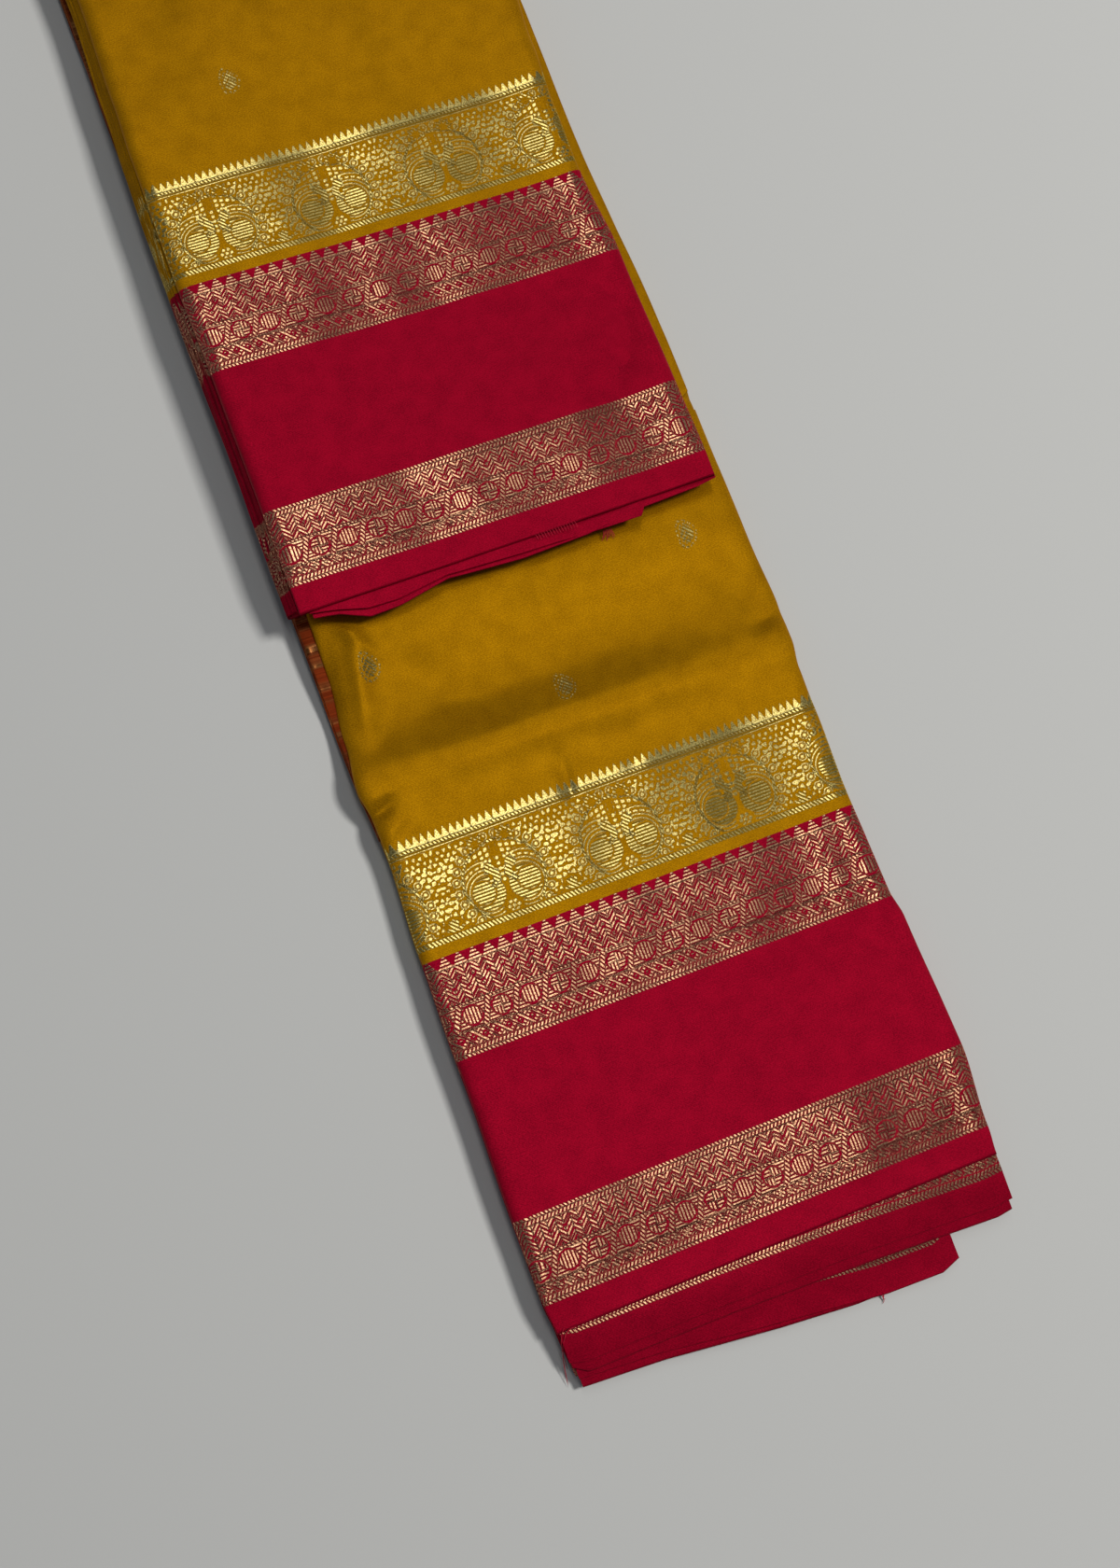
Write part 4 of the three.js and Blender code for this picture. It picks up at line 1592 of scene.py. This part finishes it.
@dataclass(frozen=True)
class LooseThreads:
    """Silk threads that have come loose from the selvedges, each a curve through a few guiding points."""

    name: str = "loose_threads"
    radius: float = 0.17
    sides: int = 6
    steps: int = 14

    def paths(self) -> list[tuple[tuple[float, float, float], ...]]:
        """Guiding points of every thread.

        Returns:
            One path for each thread, in millimetres on the fitted axes.
        """
        long = [((-92.5, 0.6, 12.1), (-98.5, -0.5, 12.4), (-100.5, -8.0, 6.0), (-101.0, -14.0, 3.0),
                 (-102.0, -21.5, 0.4)),
                ((-95.5, 1.8, 12.0), (-99.5, -1.0, 11.8), (-100.2, -9.0, 5.0), (-99.6, -15.0, 1.2)),
                ((-91.0, 0.2, 12.1), (-95.8, 1.4, 12.9), (-97.4, -3.0, 11.2))]
        floor = [((31.0 + k * 0.8, -33.6, 1.4), (30.2 + k, -35.6, 1.8), (32.5 - k * 1.2, -37.0, 0.6),
                  (30.0 + k * 1.1, -38.6 + k * 0.7, 0.3)) for k in range(3)]
        tuft = [((42.6 + k * 0.5, 309.2, 14.6), (42.2 + k * 0.7, 306.8, 13.8 + 0.4 * (k % 2)),
                 (40.4 + k * 1.05, 304.9 + 0.9 * math.sin(k * 2.1), 12.7)) for k in range(7)]
        fray = [((12.0 + k * 1.3, 314.5, 23.2), (12.2 + k * 1.3, 313.0, 23.3),
                 (12.5 + k * 1.3, 311.9 - 0.7 * math.sin(k * 1.7) ** 2, 22.5)) for k in range(15)]
        return long + floor + tuft + fray

    def tube(self, path: Sequence[tuple[float, float, float]], offset: Pair) -> bpy.types.Object:
        """Makes one thread, tapered at both ends.

        Args:
            path: its guiding points.
            offset: the fitted axes' place in the frame, in millimetres.

        Returns:
            The new piece.
        """
        piece = grid_mesh("thread", self.sides + 1, self.steps)
        nodes = np.array(path, float) + (*offset, 0)
        t = np.linspace(0, 1, self.steps)[:, None]
        last = len(path) - 1
        line = sum(math.comb(last, k) * t**k * (1 - t) ** (last - k) * nodes[k] for k in range(last + 1))
        way = np.gradient(line, axis=0)
        way /= np.linalg.norm(way, axis=1, keepdims=True)
        side = np.cross(way, (0.0, 0.0, 1.0))
        side /= np.linalg.norm(side, axis=1, keepdims=True)
        over = np.cross(side, way)
        size = self.radius * np.sin(math.pi * t) ** 0.3 * np.where((t > 0) & (t < 1), 1, 0)
        for vertex in piece.data.vertices:
            k = round((vertex.co.y + 1) / 2 * (self.steps - 1))
            turn = (vertex.co.x + 1) * math.pi
            away = math.cos(turn) * side[k] + math.sin(turn) * over[k]
            vertex.co = Vector((line[k] + size[k] * away) * MM)
        return piece

    def build(self, offset: Pair) -> bpy.types.Object:
        """Makes every thread and joins them in one piece.

        Args:
            offset: the fitted axes' place in the frame, in millimetres.

        Returns:
            The new piece.
        """
        tubes = [self.tube(path, offset) for path in self.paths()]
        for tube in tubes:
            tube.select_set(True)
        bpy.context.view_layer.objects.active = tubes[0]
        bpy.ops.object.join()
        piece = bpy.context.active_object
        piece.name = piece.data.name = self.name
        merge_points(outwards=True)
        bpy.ops.object.shade_smooth()
        piece.data.materials.append(THREAD.build())
        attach(piece, "root")
        bpy.ops.object.select_all(action="DESELECT")
        return piece


@dataclass
class FoldedSaree:
    """All pieces of the folded cloth. Widths and lengths in millimetres on the flat cloth."""

    offset: Pair
    width: float = 206.0
    tuck: float = 36.0
    looks: Looks = field(default_factory=dict)

    def outside_plies(self) -> list[ClothPiece]:
        """Describes the plies that lie outermost.

        Returns:
            The four stretches of the outside ply and the two of the inside ply.
        """
        b, end = BORDER, STRIP.cloth_width
        columns = cloth_columns()
        flat = np.linspace(-1, 1, COARSE_POINTS)[1:-1]
        coarse = np.concatenate([columns[:CURL_POINTS], flat, columns[-CURL_POINTS:]])
        outer, inner = OutsidePly(), InsidePly()
        tuck = STRIP.selvedge_step + self.tuck
        red = [(b.margin, MID), (b.margin + b.narrow_band, FINE), (b.wide_start, MID + 0.6),
               (b.red_width, FINE)]
        gold = [(b.gold_start, MID), (b.gold_start + b.gold_band + b.spikes + 1, FINE)]
        top = end - spaced(gold + [(300, 1.0), (360, 1.4), (end - STRIP.turn_end, 2.6),
                                   (end - STRIP.turn_start, 1.2)], b.red_width)
        lip = np.array(LIP_ROWS)
        red_top = np.concatenate([end + lip, end - spaced(red, 0.0)])
        red_low = np.concatenate([-lip, spaced(red, 0.0)])
        under = spaced([(600, 5.0), (b.red_width, 5.0)], STRIP.turn_start)
        under_red = spaced([(outer.under_selvedge, 1.4)], b.red_width)
        inside = spaced(gold + [(tuck - 30, 0.8), (tuck, 2)], b.red_width)
        upper_body, lower_body = end - STRIP.turn_start - b.red_width, STRIP.turn_start - b.red_width
        plies = (
            ("outer_border_top", columns, red_top, outer, UPPER_RUN, CRIMSON, b.red_width + 3),
            ("outer_body_top", columns, top, outer, UPPER_RUN, MUSTARD, upper_body),
            ("inner_border", columns, red_low, inner, LOWER_RUN, CRIMSON, b.red_width + 3),
            ("inner_body", columns, inside, inner, LOWER_RUN, MUSTARD, tuck - b.red_width),
            ("outer_body_under", coarse, under, outer, LOWER_RUN, MUSTARD, lower_body),
            ("outer_border_under", coarse, under_red, outer, LOWER_RUN, CRIMSON, b.red_width + 17),
        )
        return [
            Sheet(f"{node}_cloth", across, along, ply.lay_out, run, (node,),
                  "crimson_silk" if finish is CRIMSON else "mustard_silk", (finish,), (self.width, length))
            for node, across, along, ply, run, finish, length in plies
        ]

    def loose_plies(self) -> list[ClothPiece]:
        """Describes the plies that stand out at the two free ends.

        Returns:
            The plies, from the top one down, lower end first.
        """
        end = STRIP.cloth_width
        lip = [1.015, 1.03, 1.12, 1.3]
        low = np.array([0, 0.4] + list(np.linspace(0.55, 1, 54)) + lip)
        low_edge = np.array([0, 0.6] + list(np.linspace(0.75, 1, 14)) + lip)
        high = np.array([0, 0.4] + list(np.linspace(0.6, 1, 26)) + lip)
        fine, plain = np.linspace(0, 1, 341), np.linspace(0, 1, 151)
        plies = (
            ("lower_second_cloth", "lower_second_ply", fine, low, 40,
             LoosePly(0.55, 0, ((-98.5, 12.2), (-92, 14.0), (-30, 14.6), (30, 16.2), (88, 19.6),
                                (96.5, 19.0)))),
            ("lower_second_backing", "", plain, low_edge, 44,
             LoosePly(1.35, 0, ((-98.0, 14.5), (-92, 18.2), (-30, 18.7), (30, 20.7), (88, 23.9),
                                (95, 23.0)))),
            ("lower_third_cloth", "lower_third_ply", fine, low, 54,
             LoosePly(2.2, 0, ((-97, 19.5), (-62, 22.4), (-20, 28.6), (33, 35.2), (58, 36.0),
                               (66.5, 33)))),
            ("lower_fourth_cloth", "", plain, low_edge, 54,
             LoosePly(3.2, 0, ((-96.7, 23.0), (-62, 25.4), (-13, 31.4), (20, 34.4), (50, 34.6),
                               (60, 30)))),
            ("upper_second_cloth", "upper_second_ply", plain, high, 31,
             LoosePly(0.9, end, ((-91, 0.4), (-79, 2.8), (-67, 6.2), (-53, 6.6), (-30, 3.6), (4, 5.2),
                                 (60, 6.5), (61.5, 3.0), (88, 2.0), (97, 0.9)),
                      ((-95, 0.4), (-60, 0.2), (0, 0.0), (22, 0.2), (32, 1.8), (44, 1.7), (58, 0.2),
                       (76, 0.9), (89, 1.7), (97, 0.3)))),
            ("upper_third_cloth", "upper_third_ply", plain, high, 29,
             LoosePly(2.2, end, ((-90, 2.5), (-79, 4.4), (-67, 9.6), (-53, 9.2), (-30, 4.9), (4, 7.2),
                                 (34, 6.4), (60, 3), (86, 1)), ((-95, 0.3), (60, 0.0), (90, 1.4)))),
        )
        return [
            Sheet(name, across, along[::-1], ply.lay_out, UPPER_RUN if ply.selvedge else LOWER_RUN,
                  (node,) if node else (), "crimson_silk", (CRIMSON,),
                  (ply.ends[-1][0] - ply.ends[0][0], length))
            for name, node, across, along, length, ply in plies
        ]

    def blocks(self) -> list[ClothPiece]:
        """Describes the closed blocks.

        Returns:
            The hidden plies and the pallu's folded edges.
        """
        hidden = HiddenPlies(Folds(count=15, out=1.0, points=6))
        pallu = PalluEdges(Folds(count=6, out=0.8, points=8, columns=3))
        return [
            Stack("hidden_plies_cloth", hidden.folds.loop(), hidden.rows(), hidden.lay_out, LOWER_RUN,
                  ("hidden_plies",), "layered_plies", (CRIMSON, MUSTARD)),
            Stack("pallu_edges_cloth", pallu.folds.loop(), pallu.rows(), pallu.lay_out, PALLU,
                  ("pallu_edges",), "rust_silk", (RUST,)),
        ]

    def build(self) -> None:
        """Builds every piece."""
        for piece in self.outside_plies() + self.loose_plies() + self.blocks():
            piece.build(self.offset, self.looks)
        LooseThreads().build(self.offset)


@dataclass
class Studio:
    """Camera, plain pale floor and soft lights, placed from the fitted camera of the photograph.

    eye is the camera's place in millimetres on the fitted axes. turn, tip and lean are degrees about Z, X and
    Y. air is the colour of the light from all round, and air_strength how strong it is.
    """

    offset: Pair
    eye: tuple[float, float, float] = (-136.01, 60.63, 782.84)
    turn: float = -20.31
    tip: float = 13.218
    lean: float = -4.360
    focal_pixels: float = 2000
    picture_height: float = 1680
    sensor: float = 36
    air: str = "C8CDD4"
    air_strength: float = 0.19

    def camera(self) -> None:
        """Makes the camera."""
        data = bpy.data.cameras.new("camera")
        data.sensor_width = self.sensor
        data.lens = self.sensor * self.focal_pixels / self.picture_height
        data.clip_start, data.clip_end = 0.01, 20
        camera = bpy.data.objects.new("camera", data)
        bpy.context.collection.objects.link(camera)
        place = Vector(((self.eye[0] + self.offset[0]) * MM, (self.eye[1] + self.offset[1]) * MM,
                        self.eye[2] * MM))
        turned = (Matrix.Rotation(math.radians(self.turn), 4, "Z")
                  @ Matrix.Rotation(math.radians(self.tip), 4, "X")
                  @ Matrix.Rotation(math.radians(self.lean), 4, "Y"))
        camera.matrix_world = Matrix.Translation(place) @ turned
        bpy.context.scene.camera = camera

    def lamp(self, name: str, azimuth: float, elevation: float, distance: float, size: float,
             power: float, colour: str, length: float = 0.0, glossy: bool = True) -> None:
        """Adds a soft light that looks at the cloth's middle, or straight down if it has a length.

        Args:
            name: the light's name.
            azimuth: degrees from +X towards +Y.
            elevation: degrees above the floor.
            distance: metres from the cloth.
            size: metres along its side.
            power: watts.
            colour: sRGB hex.
            length: metres along Y, for a long light.
            glossy: whether it shows in reflections.
        """
        data = bpy.data.lights.new(name, "AREA")
        data.size, data.energy = size, power
        data.color = hex_colour(colour)[:3]
        lamp = bpy.data.objects.new(name, data)
        bpy.context.collection.objects.link(lamp)
        a, e = math.radians(azimuth), math.radians(elevation)
        aim = Vector((0.0, -0.1, 0.01))
        way = Vector((math.cos(a) * math.cos(e), math.sin(a) * math.cos(e), math.sin(e)))
        lamp.location = aim + way * distance
        lamp.visible_glossy = glossy
        if length:
            data.shape, data.size_y = "RECTANGLE", length
        else:
            lamp.rotation_euler = way.to_track_quat("Z", "Y").to_euler()

    def floor(self) -> None:
        """Adds the plain pale floor, just under the cloth."""
        bpy.ops.mesh.primitive_plane_add(size=8, location=(0, 0, -0.0002))
        floor = bpy.context.active_object
        floor.name = "floor"
        floor.data.materials.append(BOARD.build())

    def build(self) -> None:
        """Makes the whole studio."""
        self.camera()
        self.floor()
        # The key lights the cloth and isn't mirrored. The zari mirrors the weak glint in the same place.
        for name, power, glossy in (("key", 74, False), ("glint", 5, True)):
            self.lamp(name, azimuth=-8, elevation=55, distance=3.0, size=0.5, power=power, colour="FFF8EE",
                      glossy=glossy)
        self.lamp("overhead", azimuth=73.3, elevation=73.9, distance=3.12, size=0.5, power=20,
                  colour="FFF9F0", length=3.8)
        world = bpy.data.worlds.new("studio")
        world.use_nodes = True
        sky = world.node_tree.nodes["Background"]
        sky.inputs["Color"].default_value = hex_colour(self.air)
        sky.inputs["Strength"].default_value = self.air_strength
        bpy.context.scene.world = world
        bpy.context.scene.view_settings.view_transform = "Standard"


def cloth_offset() -> Pair:
    """Finds the fitted millimetre axes from two nodes whose place on them is known.

    Returns:
        Where the axes lie in the frame, in millimetres.
    """
    loose_right = 95.5
    low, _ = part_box("inner_border")
    _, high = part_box("lower_second_ply")
    return high[0] / MM - loose_right, low[1] / MM


def main() -> None:
    """Builds the studio and the saree."""
    logging.basicConfig(level=logging.INFO, format="%(message)s")
    bpy.ops.object.select_all(action="DESELECT")
    offset = cloth_offset()
    LOG.info("offset %.2f, %.2f mm", *offset)
    Studio(offset).build()
    bpy.ops.object.select_all(action="DESELECT")
    FoldedSaree(offset).build()


if __name__ == "__main__":
    main()
